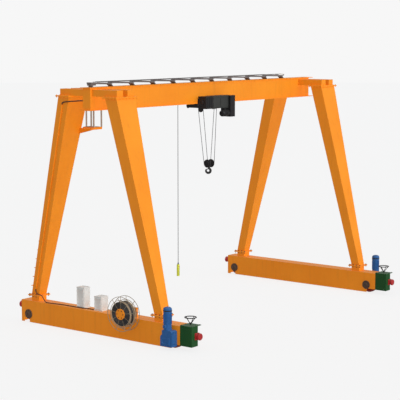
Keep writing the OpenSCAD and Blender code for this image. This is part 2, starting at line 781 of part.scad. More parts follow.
module platform_rails() color("gray") {
    left = platform_left + post_t / 2;
    right = platform_left + platform_x - post_t / 2;
    near = platform_far - platform_y + post_t / 2;
    far = platform_far - post_t / 2;
    side_post = near + 0.72 * (far - near);
    for (p = [[left, near], [right, near], [right, far], [left, side_post]])
        block(p[0], p[1], platform_z, [post_t, post_t, rail_h]);
    for (z = [mid_rail_h, rail_h - post_t]) {
        block((left + right) / 2, near, platform_z + z, [right - left, post_t, post_t]);
        block(right, (near + far) / 2, platform_z + z, [post_t, far - near, post_t]);
        block(left, (near + side_post) / 2, platform_z + z, [post_t, side_post - near, post_t]);
    }
}

// A track of sloping trays for the trolley's cables, each on a slanting foot
track_left = -girder_len / 2 + track_left_gap;
track_right = girder_len / 2 - track_right_gap;
module cable_track() color("gray") {
    pitch = (track_right - track_left) / track_count;
    for (n = [0 : track_count - 1])
        translate([track_left + n * pitch, track_w / 2, girder_top]) rotate([90, 0, 0])
            linear_extrude(track_w) polygon([
                [0, track_high], [pitch - 140, track_low], [pitch - 40, 0], [pitch - 8, 0],
                [pitch - 98, track_low + 26], [pitch - 3, track_high], [pitch - 3, track_high + track_t],
                [pitch - 105, track_low + track_t], [0, track_high + track_t]
            ]);
    block(track_left + 90, 0, girder_top, [60, track_w - 40, 56]);
    block(track_left + 125, 0, girder_top + 56, [260, track_w - 40, 48]);
}

// Trolley, hoist and hook; the rope pairs hang at rope_x1 and rope_x2
hoist_left = trolley_at - trolley_len / 2;
hoist_z = girder_z - hoist_drop;
hoist_inner = -flange_w / 2 - cheek_gap - cheek_t;
gear_left = hoist_left + trolley_len - hoist_gear_len;
gear_z = hoist_z + hoist_box_h - hoist_gear_h;
rope_y = -ropes_reach;
rope_x1 = hoist_left + ropes_inset;
rope_x2 = rope_x1 + upper_pair;
lower_mid = trolley_at - block_offset;
block_x1 = lower_mid - lower_pair / 2;
block_x2 = lower_mid + lower_pair / 2;
block_top = girder_z - hook_drop;
rope_top = hoist_z - 2;
block_axle_z = block_top - block_h / 2;
sheave_r = (falls_gap - rope_d) / 2;
sheave_drop = 20;
// How much a rope fall that leans lengthens; top is its place above, side the side of its sheave below
function lean(top, side) = (side * falls_gap / 2 - top) / (rope_top - block_axle_z);
function slant(top, side) = sqrt(1 + pow(lean(top, side), 2));
pendant_x = trolley_at - pendant_offset;
pendant_top = girder_z + 120;

// Frame below the girder, side plates with four wheels on its lower flange, and the pendant's arm
module trolley_frame() color("#2a2a2c") {
    half = flange_w / 2 + cheek_gap;
    top = girder_z + flange_t + trolley_wheel_d + 30;
    low = girder_z - frame_gap - frame_t;
    arm_x = hoist_left + 40;
    block(trolley_at, 0, low, [trolley_len, 2 * (half + cheek_t), frame_t]);
    for (side = [-1, 1]) {
        translate([hoist_left, side > 0 ? half : -half - cheek_t, girder_z - frame_gap - 1])
            cube([trolley_len, cheek_t, top - girder_z + frame_gap + 1]);
        for (at = [-trolley_len / 2 + 150, trolley_len / 2 - 150])
            rod_y(trolley_at + at, side * (half - 25), girder_z + flange_t + trolley_wheel_d / 2 + seat_gap,
                trolley_wheel_d, 50);
    }
    translate([arm_x - 20, half + cheek_t - 1, pendant_top]) cube([40, pendant_y - half - cheek_t + 21, 40]);
    translate([pendant_x - 20, pendant_y - 20, pendant_top + 1]) cube([arm_x - pendant_x + 39, 40, 38]);
    translate([pendant_x, pendant_y, pendant_top - 40]) cylinder(d = 36, h = 42, $fn = 32);
}

module drum_housing() color("#1c1c1e")
    translate([hoist_left, -hoist_reach, hoist_z])
        cube([drum_box_len, hoist_reach + hoist_inner, hoist_box_h]);

module electric_box() color("#3c3c40")
    translate([hoist_left + drum_box_len, -hoist_reach, hoist_z])
        cube([gear_left - hoist_left - drum_box_len, hoist_reach + hoist_inner, hoist_box_h]);

module hoist_gearbox() color("#1c1c1e")
    translate([gear_left, -hoist_reach - gear_out, gear_z])
        cube([hoist_gear_len, hoist_reach + gear_out + hoist_inner, hoist_gear_h]);

// The motor lies beside the gearbox, on a foot below the electrical box
module hoist_motor() color("#28282a") {
    r = hoist_motor_d / 2;
    y = -hoist_reach - gear_out + r + 5;
    z = gear_z + r + 20;
    translate([gear_left, y, z]) rotate([0, -90, 0]) rotate_extrude($fn = 64) polygon([
        [0, 0], [r, 0], [r, hoist_motor_len - 40], [r - 12, hoist_motor_len - 12], [r - 40, hoist_motor_len],
        [0, hoist_motor_len]
    ]);
    block(gear_left - 130, y + 40, z + 30, [110, 60, hoist_z - z - 30]);
}

// The half of the sheave that shows below the hoist, on its two lugs
module upper_sheave() color("#202022") {
    z = hoist_z - sheave_drop;
    top = sheave_falls / 2;
    reach = (top - (rope_top - z) * lean(-top, 1)) / slant(-top, 1);
    difference() {
        union() {
            rod_x(rope_x1, rope_y, z, 2 * (reach - seat_gap) - rope_d, upper_sheave_t);
            for (side = [-1, 1])
                block(rope_x1 + side * (upper_sheave_t / 2 + 5.5), rope_y, z - 60, [12, 100, 80]);
        }
        translate([rope_x1 - 100, rope_y - 200, hoist_z]) cube([200, 400, 200]);
    }
}

module hoist_ropes() color("silver")
    for (rope = [
        [rope_x1, sheave_falls / 2, block_x1, 1], [rope_x1, -sheave_falls / 2, block_x2, 1],
        [rope_x2, drum_falls / 2, block_x1, -1], [rope_x2, -drum_falls / 2, block_x2, -1]
    ])
        let (low = rope[3] * (sheave_r + rope_d / 2 + seat_gap) * slant(rope[1], rope[3]))
            bar([rope[0], rope_y + rope[1], rope_top], [rope[2], rope_y + low, block_axle_z], rope_d, 12);

// Two sheaves between round cheeks, with the crosshead that carries the hook
module hook_block() color("#202022") {
    difference() {
        union() {
            for (px = [block_x1, block_x2], side = [-1, 1])
                rod_x(px + side * (sheave_slot + block_cheek) / 2, rope_y, block_axle_z, 2 * sheave_r - 4,
                    block_cheek);
            for (px = [block_x1, block_x2])
                rod_x(px, rope_y, block_axle_z, 2 * sheave_r, sheave_slot - 10);
            rod_x(lower_mid, rope_y, block_axle_z, 60, lower_pair + sheave_slot + 2 * block_cheek + 16);
            block(lower_mid, rope_y, block_top - block_h,
                [lower_pair - sheave_slot - 2, block_y, block_h / 2 + 34]);
        }
        translate([lower_mid, rope_y, block_top - block_h - 1])
            cylinder(d = shank_d + 2 * running_fit, h = 80, $fn = 48);
    }
}

// A shank hook that swivels below its block
module hook() color("#202022") {
    r = hook_r + hook_t / 2;
    translate([lower_mid, rope_y, block_top - block_h]) {
        translate([0, 0, -60]) cylinder(d = shank_d, h = 60 + 75, $fn = 48);
        rotate([0, 0, hook_turn]) translate([-hook_shift, 0, -50 - r]) rotate([90, 0, 0]) rotate([0, 0, -208])
            rotate_extrude(angle = 283, $fn = 96) translate([r, 0]) circle(d = hook_t, $fn = 24);
    }
}

module pendant_cable() color("#282828") {
    low = pendant_z + pendant_h;
    translate([pendant_x, pendant_y, low]) cylinder(d = pendant_d, h = pendant_top - 40 - low, $fn = 24);
}

module pendant_box() color("#c8d820")
    block(pendant_x, pendant_y, pendant_z, [pendant_w, pendant_t, pendant_h]);

placed() main_girder();
placed() saddles();
placed() leg(-half_span, -1);  // left_near_leg
placed() leg(-half_span, 1);  // left_far_leg
placed() leg(half_span, -1);  // right_near_leg
placed() leg(half_span, 1);  // right_far_leg
placed() end_beam(-half_span);  // left_end_beam
placed() end_beam(half_span);  // right_end_beam
placed() axle_covers();
placed() wheel(-half_span, -near_wheel_y);  // left_near_wheel
placed() wheel(-half_span, far_wheel_y);  // left_far_wheel
placed() wheel(half_span, -near_wheel_y);  // right_near_wheel
placed() wheel(half_span, far_wheel_y);  // right_far_wheel
placed() drive_gearbox(-1);  // left_gearbox
placed() drive_gearbox(1);  // right_gearbox
placed() drive_motor(-1);  // left_motor
placed() drive_motor(1);  // right_motor
placed() clamp_box(-half_span);  // left_clamp_box
placed() clamp_box(half_span);  // right_clamp_box
placed() handwheel(-half_span);  // left_handwheel
placed() handwheel(half_span);  // right_handwheel
placed() buffers();
placed() cabinets();
placed() reel_stand();
placed() reel_drum();
placed() reel_hub();
placed() reel_winding();
placed() step_irons();
placed() cable_conduit();
placed() control_cable();
placed() girder_cable();
placed() platform();
placed() platform_rails();
placed() cable_track();
placed() trolley_frame();
placed() drum_housing();
placed() electric_box();
placed() hoist_gearbox();
placed() hoist_motor();
placed() hoist_ropes();
placed() hook_block();
placed() hook();
placed() upper_sheave();
placed() pendant_cable();
placed() pendant_box();
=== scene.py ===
"""Looks of a single-girder gantry crane: finishes, fasteners, fittings, cords, camera and light."""
import json
import logging
import math
from dataclasses import dataclass
from enum import Enum
from typing import Any, Callable, Iterable, Optional, Sequence, Union

import bpy
from mathutils import Matrix, Vector


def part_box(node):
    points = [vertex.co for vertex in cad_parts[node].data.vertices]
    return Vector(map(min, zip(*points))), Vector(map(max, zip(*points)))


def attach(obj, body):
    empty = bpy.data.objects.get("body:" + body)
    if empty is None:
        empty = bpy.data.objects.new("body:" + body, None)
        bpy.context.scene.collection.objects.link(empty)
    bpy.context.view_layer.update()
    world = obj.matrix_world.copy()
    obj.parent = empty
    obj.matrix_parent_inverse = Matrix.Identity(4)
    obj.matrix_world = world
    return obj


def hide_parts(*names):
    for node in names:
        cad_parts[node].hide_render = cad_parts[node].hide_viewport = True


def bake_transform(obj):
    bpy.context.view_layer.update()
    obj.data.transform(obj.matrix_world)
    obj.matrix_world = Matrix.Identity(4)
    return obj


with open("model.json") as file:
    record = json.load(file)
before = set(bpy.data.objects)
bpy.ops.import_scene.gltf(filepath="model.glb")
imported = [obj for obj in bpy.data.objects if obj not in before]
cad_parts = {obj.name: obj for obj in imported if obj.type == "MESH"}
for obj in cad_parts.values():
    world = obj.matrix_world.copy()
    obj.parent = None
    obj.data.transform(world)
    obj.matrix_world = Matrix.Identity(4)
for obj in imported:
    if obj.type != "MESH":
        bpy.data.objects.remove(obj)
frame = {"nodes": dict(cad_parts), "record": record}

log = logging.getLogger("crane")
Point = tuple[float, float, float]
Colour = tuple[float, float, float]
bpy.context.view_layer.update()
CAMERA_LENS = 122.45
CAMERA_PLACE: Point = (-39.210, -30.146, 10.133)
CAMERA_TURN: Point = (82.8944, 0.0, -51.805)
LAMPS: tuple[tuple[str, Point, float, float, bool], ...] = (
    ("key", (58, 0, 8), 0.2, 0.3, True), ("wash", (68, 0, 8), 1.95, 0.12, False),
    ("fill", (60, 0, -80), 0.75, 0.6, False))


def srgb(r: int, g: int, b: int) -> Colour:
    """Turns a colour of 0 to 255 into the linear one that a shader takes.

    Args:
        r: Red.
        g: Green.
        b: Blue.

    Returns:
        The linear colour.
    """
    def linear(v: float) -> float:
        """Returns one channel as linear light."""
        v /= 255
        return v / 12.92 if v <= 0.04045 else ((v + 0.055) / 1.055) ** 2.4
    return linear(r), linear(g), linear(b)


def linked(name: str, data: Any) -> bpy.types.Object:
    """Adds an object of this name and data to the scene and returns it."""
    obj = bpy.data.objects.new(name, data)
    bpy.context.scene.collection.objects.link(obj)
    return obj


class Number:
    """A shader socket that Python expressions can be written on."""

    def __init__(self, tree: "Tree", socket: bpy.types.NodeSocket) -> None:
        """Keeps the socket and the tree that it belongs to."""
        self.tree = tree
        self.socket = socket

    def _math(self, operation: str, *values: Any) -> "Number":
        """Adds a Math node of this operation on the values, in their order."""
        return self.tree.node("ShaderNodeMath", {"operation": operation}, *values)

    def __add__(self, other: Any) -> "Number":
        """Returns self + other."""
        return self._math("ADD", self, other)

    __radd__ = __add__

    def __sub__(self, other: Any) -> "Number":
        """Returns self - other."""
        return self._math("SUBTRACT", self, other)

    def __rsub__(self, other: Any) -> "Number":
        """Returns other - self."""
        return self._math("SUBTRACT", other, self)

    def __mul__(self, other: Any) -> "Number":
        """Returns self * other."""
        return self._math("MULTIPLY", self, other)

    __rmul__ = __mul__

    def clipped(self) -> "Number":
        """Returns self held between 0 and 1."""
        return self._math("MINIMUM", self._math("MAXIMUM", self, 0.0), 1.0)

    def ramp(self, low: float, high: float) -> "Number":
        """Returns 0 at low, 1 at high and a straight line between them."""
        return ((self - low) * (1 / (high - low))).clipped()


class Tree:
    """A material's node tree, with one method that adds any node."""

    def __init__(self, name: str) -> None:
        """Makes an empty material of this name."""
        self.material = bpy.data.materials.new(name)
        self.material.use_nodes = True
        self.nodes = self.material.node_tree.nodes
        self.links = self.material.node_tree.links
        self.nodes.clear()
        self.output = self.nodes.new("ShaderNodeOutputMaterial")

    def node(self, kind: str, settings: Optional[dict[str, Any]] = None, *values: Any, out: int = 0,
             **named: Any) -> Number:
        """Adds a node.

        Args:
            kind: The node's type.
            settings: Its own settings, which are set first.
            *values: Values or links of its sockets, in their order.
            out: The number of the output that is returned.
            **named: Values or links of sockets by name, with _ for a space.

        Returns:
            The output, wrapped.
        """
        node = self.nodes.new(kind)
        for key, value in (settings or {}).items():
            setattr(node, key, value)
        sockets = list(zip(node.inputs, values))
        sockets += [(node.inputs[key.replace("_", " ")], value) for key, value in named.items()]
        for socket, value in sockets:
            self.feed(socket, value)
        return Number(self, node.outputs[out])

    def feed(self, socket: bpy.types.NodeSocket, value: Any) -> None:
        """Links a socket or sets its value.

        Args:
            socket: The socket.
            value: A value, or a link from another node.
        """
        if isinstance(value, Number):
            self.links.new(value.socket, socket)
        elif value is not None:
            if isinstance(value, (tuple, list)) and len(value) == 3 and len(socket.default_value) == 4:
                value = (*value, 1.0)
            socket.default_value = value

    def place(self, scale: Point = (1, 1, 1)) -> Number:
        """Returns Object coordinates, stretched by scale."""
        spot = self.node("ShaderNodeTexCoord", out=3)
        return self.node("ShaderNodeMapping", {"vector_type": "POINT"}, Vector=spot, Scale=scale)

    def noise(self, scale: float, detail: float = 3.0, stretch: Point = (1, 1, 1), rough: float = 0.55) -> Number:
        """Returns a noise of 0 to 1 on Object coordinates."""
        return self.node("ShaderNodeTexNoise", None, Vector=self.place(stretch), Scale=scale, Detail=detail,
                         Roughness=rough)

    def blend(self, mask: Any, low: Any, high: Any) -> Number:
        """Returns the colour low where the mask is 0 and high where it is 1.

        Args:
            mask: The mask.
            low: The colour at 0.
            high: The colour at 1.

        Returns:
            The colour, wrapped.
        """
        node = self.nodes.new("ShaderNodeMix")
        node.data_type = "RGBA"
        for name, value in (("Factor_Float", mask), ("A_Color", low), ("B_Color", high)):
            self.feed(next(s for s in node.inputs if s.identifier == name), value)
        return Number(self, next(s for s in node.outputs if s.identifier == "Result_Color"))

    def upward(self) -> Number:
        """Returns how far a surface faces up, from -1 to 1."""
        return self.node("ShaderNodeSeparateXYZ", None, self.node("ShaderNodeNewGeometry", out=1), out=2)

    def bump(self, height: Number, distance: float, strength: float = 1.0) -> Number:
        """Returns a normal bumped by the height, which is that many metres deep."""
        return self.node("ShaderNodeBump", None, Strength=strength, Distance=distance, Height=height)

    def surface(self, **sockets: Any) -> bpy.types.Material:
        """Ends the tree in a Principled shader and returns the material.

        Args:
            **sockets: Values or links of the shader's sockets by name.

        Returns:
            The material.
        """
        shader = self.node("ShaderNodeBsdfPrincipled", None, **sockets)
        self.links.new(shader.socket, self.output.inputs["Surface"])
        return self.material


@dataclass(frozen=True)
class Paint:
    """Sprayed enamel with slight unevenness, dirt in streaks, and a paler colour on what faces up that is partly dust
    and partly a painted sheen of light from above.
    """

    name: str
    colour: Colour
    shade: Colour
    # Pale colour of upward faces, and its share: partly dust, partly a painted sheen of light from above.
    dust_and_sheen: Colour = srgb(222, 190, 150)
    dust_and_sheen_share: float = 0.25
    grime: Colour = srgb(90, 55, 25)
    dirty: float = 0.25
    roughness: float = 0.42
    grain: float = 55.0
    grain_depth: float = 0.0006

    def material(self) -> bpy.types.Material:
        """Returns the finish as a material."""
        t = Tree(self.name)
        broad = t.noise(0.55, 3.0)
        fine = t.noise(14.0, 4.0)
        peel = t.noise(self.grain, 2.0)
        runs = t.noise(1.0, 4.0, (9.0, 9.0, 0.8))
        colour = t.blend(broad.ramp(0.3, 0.7), self.colour, self.shade)
        dirt = (runs.ramp(0.52, 0.8) * 0.5 + fine.ramp(0.62, 0.8) * 0.5) * self.dirty
        colour = t.blend(dirt.clipped(), colour, self.grime)
        # Painted top light: upward faces turn paler, partly from dust and partly as a painted sheen.
        top = t.upward().ramp(0.6, 0.95) * (0.5 + 0.5 * fine) * self.dust_and_sheen_share
        colour = t.blend(top.clipped(), colour, self.dust_and_sheen)
        rough = self.roughness + 0.12 * fine + 0.2 * top
        return t.surface(Base_Color=colour, Roughness=rough.clipped(), IOR=1.45, Specular_IOR_Level=0.25,
                         Normal=t.bump(peel * 0.6 + fine * 0.4, self.grain_depth))


@dataclass(frozen=True)
class Metal:
    """Bare, cast or galvanised metal with a fine grain."""

    name: str
    colour: Colour
    shade: Colour
    metallic: float = 1.0
    roughness: float = 0.4
    grain: float = 40.0
    depth: float = 0.0004
    rust: float = 0.0

    def material(self) -> bpy.types.Material:
        """Returns the finish as a material."""
        t = Tree(self.name)
        fine = t.noise(self.grain, 4.0)
        broad = t.noise(4.0, 3.0)
        colour = t.blend(fine.ramp(0.3, 0.7), self.colour, self.shade)
        rust = (broad.ramp(0.55, 0.75) * fine.ramp(0.4, 0.7)) * self.rust
        colour = t.blend(rust.clipped(), colour, srgb(112, 62, 30))
        return t.surface(Base_Color=colour, Metallic=(self.metallic * (1 - rust)).clipped(),
                         Roughness=(self.roughness + 0.15 * fine + 0.3 * rust).clipped(),
                         Normal=t.bump(fine, self.depth))


@dataclass(frozen=True)
class Soft:
    """Rubber or moulded plastic with a light bloom."""

    name: str
    colour: Colour
    shade: Colour
    roughness: float = 0.6
    grain: float = 120.0
    depth: float = 0.0003

    def material(self) -> bpy.types.Material:
        """Returns the finish as a material."""
        t = Tree(self.name)
        fine = t.noise(self.grain, 3.0)
        broad = t.noise(3.0, 3.0)
        colour = t.blend(broad.ramp(0.35, 0.7), self.colour, self.shade)
        bloom = t.upward().ramp(0.5, 0.95) * fine * 0.3
        colour = t.blend(bloom.clipped(), colour, srgb(170, 160, 150))
        return t.surface(Base_Color=colour, Roughness=(self.roughness + 0.1 * fine).clipped(),
                         Normal=t.bump(fine, self.depth))


# Each paint's pale colour for upward faces is a paler tint of that paint: dust, and a painted sheen of top light.
FINISHES: dict[str, Union[Paint, Metal, Soft]] = {
    "orange_paint": Paint("orange_paint", srgb(242, 146, 29), srgb(235, 136, 23)),
    "cover_steel": Paint("cover_steel", srgb(92, 72, 58), srgb(74, 58, 50), dust_and_sheen_share=0.1),
    "wheel_steel": Paint("wheel_steel", srgb(140, 48, 38), srgb(112, 36, 30), dust_and_sheen_share=0.1),
    "blue_paint": Paint("blue_paint", srgb(42, 94, 152), srgb(35, 84, 140), dust_and_sheen=srgb(150, 160, 180), dust_and_sheen_share=0.2,
                        grime=srgb(30, 40, 60)),
    "green_paint": Paint("green_paint", srgb(24, 74, 30), srgb(20, 66, 26), dust_and_sheen=srgb(150, 165, 150), dust_and_sheen_share=0.35,
                         grime=srgb(18, 40, 20), roughness=0.55),
    "black_iron": Metal("black_iron", srgb(26, 26, 26), srgb(18, 18, 18), 0.1, 0.5),
    "red_rubber": Soft("red_rubber", srgb(168, 24, 26), srgb(152, 19, 21), 0.5),
    "cabinet_grey": Paint("cabinet_grey", srgb(212, 211, 207), srgb(205, 204, 200), dust_and_sheen=srgb(238, 235, 230),
                          dust_and_sheen_share=0.3, grime=srgb(180, 175, 165), dirty=0.12),
    "bare_steel": Metal("bare_steel", srgb(158, 142, 116), srgb(140, 124, 100), 0.0, 0.5, rust=0.15),
    "cable_rubber": Soft("cable_rubber", srgb(40, 38, 38), srgb(32, 30, 30)),
    "brown_rubber": Soft("brown_rubber", srgb(76, 40, 20), srgb(62, 32, 15)),
    "grey_rail": Paint("grey_rail", srgb(178, 168, 154), srgb(162, 152, 138), dust_and_sheen_share=0.1),
    "track_grey": Paint("track_grey", srgb(112, 106, 104), srgb(92, 86, 86), dust_and_sheen=srgb(160, 150, 145), dust_and_sheen_share=0.2,
                        grime=srgb(60, 55, 52)),
    "hoist_black": Paint("hoist_black", srgb(33, 32, 33), srgb(26, 25, 27), dust_and_sheen=srgb(96, 92, 88), dust_and_sheen_share=0.2,
                         grime=srgb(24, 22, 20)),
    "hoist_grey": Paint("hoist_grey", srgb(56, 57, 55), srgb(49, 50, 48), dust_and_sheen=srgb(120, 118, 112), dust_and_sheen_share=0.2,
                        grime=srgb(40, 38, 36)),
    "rope_steel": Metal("rope_steel", srgb(56, 56, 56), srgb(44, 44, 44), 0.2, 0.5, rust=0.1),
    "pendant_yellow": Soft("pendant_yellow", srgb(214, 220, 66), srgb(200, 206, 54), 0.4),
    "bolt_steel": Metal("bolt_steel", srgb(84, 60, 42), srgb(64, 46, 34), 0.4, 0.5, rust=0.6),
    "brown_bolt": Metal("brown_bolt", srgb(118, 66, 34), srgb(94, 52, 28), 0.2, 0.6, rust=0.4),
}


class Finishes:
    """Makes each finish once, and gives it to pieces and to CAD nodes."""

    def __init__(self) -> None:
        """Starts with no material made."""
        self.made: dict[str, bpy.types.Material] = {}

    def get(self, name: str) -> bpy.types.Material:
        """Returns the material of this finish.

        Args:
            name: The name that the piece's parts share.

        Returns:
            The material.
        """
        if name not in self.made:
            self.made[name] = FINISHES[name].material()
        return self.made[name]

    def dress_nodes(self) -> None:
        """Gives each CAD node the finish of its slot."""
        for part in frame["record"]["subparts"]:
            node = frame["nodes"][part["node"]]
            node.data.materials.clear()
            node.data.materials.append(self.get(part["material_slot"]))


class Studio:
    """The camera at the photograph's angle, a pale floor and soft light."""

    @staticmethod
    def build() -> None:
        """Makes the camera, the floor, the world and the lamps."""
        scene = bpy.context.scene
        scene.view_settings.view_transform = "Standard"
        data = bpy.data.cameras.new("camera")
        data.sensor_width = 36.0
        data.sensor_fit = "HORIZONTAL"
        data.lens = CAMERA_LENS
        data.clip_end = 500.0
        camera = scene.camera = linked("camera", data)
        camera.location = CAMERA_PLACE
        camera.rotation_euler = [math.radians(a) for a in CAMERA_TURN]
        Studio.floor()
        Studio.world()
        for name, turn, energy, angle, shadows in LAMPS:
            Studio.lamp(name, turn, energy, angle, shadows)

    @staticmethod
    def lamp(name: str, turn: Point, energy: float, angle: float, shadows: bool) -> None:
        """Adds a soft distant lamp.

        Args:
            name: Its name.
            turn: Its rotation in degrees.
            energy: Its strength.
            angle: Its size in the sky.
            shadows: Whether it casts shadows.
        """
        data = bpy.data.lights.new(name, "SUN")
        data.energy = energy
        data.angle = angle
        data.use_shadow = shadows
        linked(name, data).rotation_euler = [math.radians(a) for a in turn]

    @staticmethod
    def floor() -> None:
        """Adds the pale floor, which keeps a faint shadow."""
        bpy.ops.object.select_all(action="DESELECT")
        bpy.ops.mesh.primitive_circle_add(vertices=96, radius=220.0, fill_type="NGON", location=(0, 0, -0.001))
        floor = bpy.context.object
        floor.name = "floor"
        t = Tree("floor_pale")
        rays = t.node("ShaderNodeLightPath", out=0)
        glow = t.node("ShaderNodeEmission", None, Color=(1.0, 1.0, 1.0, 1.0), Strength=1.1)
        lit = t.node("ShaderNodeBsdfDiffuse", None, Color=(0.55, 0.55, 0.55, 1.0))
        mixed = t.node("ShaderNodeMixShader", None, rays * 0.7, lit, glow)
        t.links.new(mixed.socket, t.output.inputs["Surface"])
        floor.data.materials.append(t.material)

    @staticmethod
    def world() -> None:
        """Gives the world a plain light, and the camera a pale background."""
        world = bpy.data.worlds.new("world")
        bpy.context.scene.world = world
        world.use_nodes = True
        nodes, links = world.node_tree.nodes, world.node_tree.links
        nodes.clear()
        rays = nodes.new("ShaderNodeLightPath")
        seen = nodes.new("ShaderNodeBackground")
        seen.inputs["Color"].default_value = (0.93, 0.93, 0.93, 1.0)
        light = nodes.new("ShaderNodeBackground")
        light.inputs["Color"].default_value = (0.96, 0.98, 1.0, 1.0)
        light.inputs["Strength"].default_value = 0.5
        mix = nodes.new("ShaderNodeMixShader")
        out = nodes.new("ShaderNodeOutputWorld")
        links.new(rays.outputs["Is Camera Ray"], mix.inputs[0])
        links.new(light.outputs[0], mix.inputs[1])
        links.new(seen.outputs[0], mix.inputs[2])
        links.new(mix.outputs[0], out.inputs["Surface"])


class Body(Enum):
    """The bodies that pieces ride on."""

    FRAME = "frame"
    REEL = "cable_reel"
    TROLLEY = "trolley"
    BLOCK = "hook_block"
    HOOK = "hook"
    LEFT_HANDWHEEL = "left_handwheel"
    RIGHT_HANDWHEEL = "right_handwheel"


Step = Callable[[], Any]
X_AXIS, Y_AXIS, Z_AXIS = Vector((1, 0, 0)), Vector((0, 1, 0)), Vector((0, 0, 1))
ORIGIN = Vector((0, 0, 0))
MIDDLE = Vector((0.023, 0.35, 0.0))
HALF_SPAN = 6.0
BEAM_TOP = 0.79
LEG_H = 6.935
LEG_FOOT = 1.015
LEG_FOOT_Y, LEG_HEAD_Y = 2.79, 1.05
LEG_FOOT_W, LEG_HEAD_W = 0.37, 0.935
CONDUIT_D = 0.042
FACING = 0.9


def at(x: float, y: float, z: float) -> Vector:
    """Returns a place that is given from the girder's middle, in the model's frame."""
    return MIDDLE + Vector((x, y, z))


def turned_to(axis: Vector) -> Matrix:
    """Returns the turn that brings Z onto an axis."""
    return axis.to_track_quat("Z", "Y").to_matrix().to_4x4()


def facing(way: Vector, both: bool = False) -> Callable[[Any], bool]:
    """Returns a test of whether a face looks along a direction, or against it too where both is set."""
    return lambda face: (abs(face.normal.dot(way)) if both else face.normal.dot(way)) > FACING


def corners(node: str) -> tuple[Vector, Vector]:
    """Returns the low and the high corner of a CAD node."""
    low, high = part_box(node)
    return Vector(low), Vector(high)


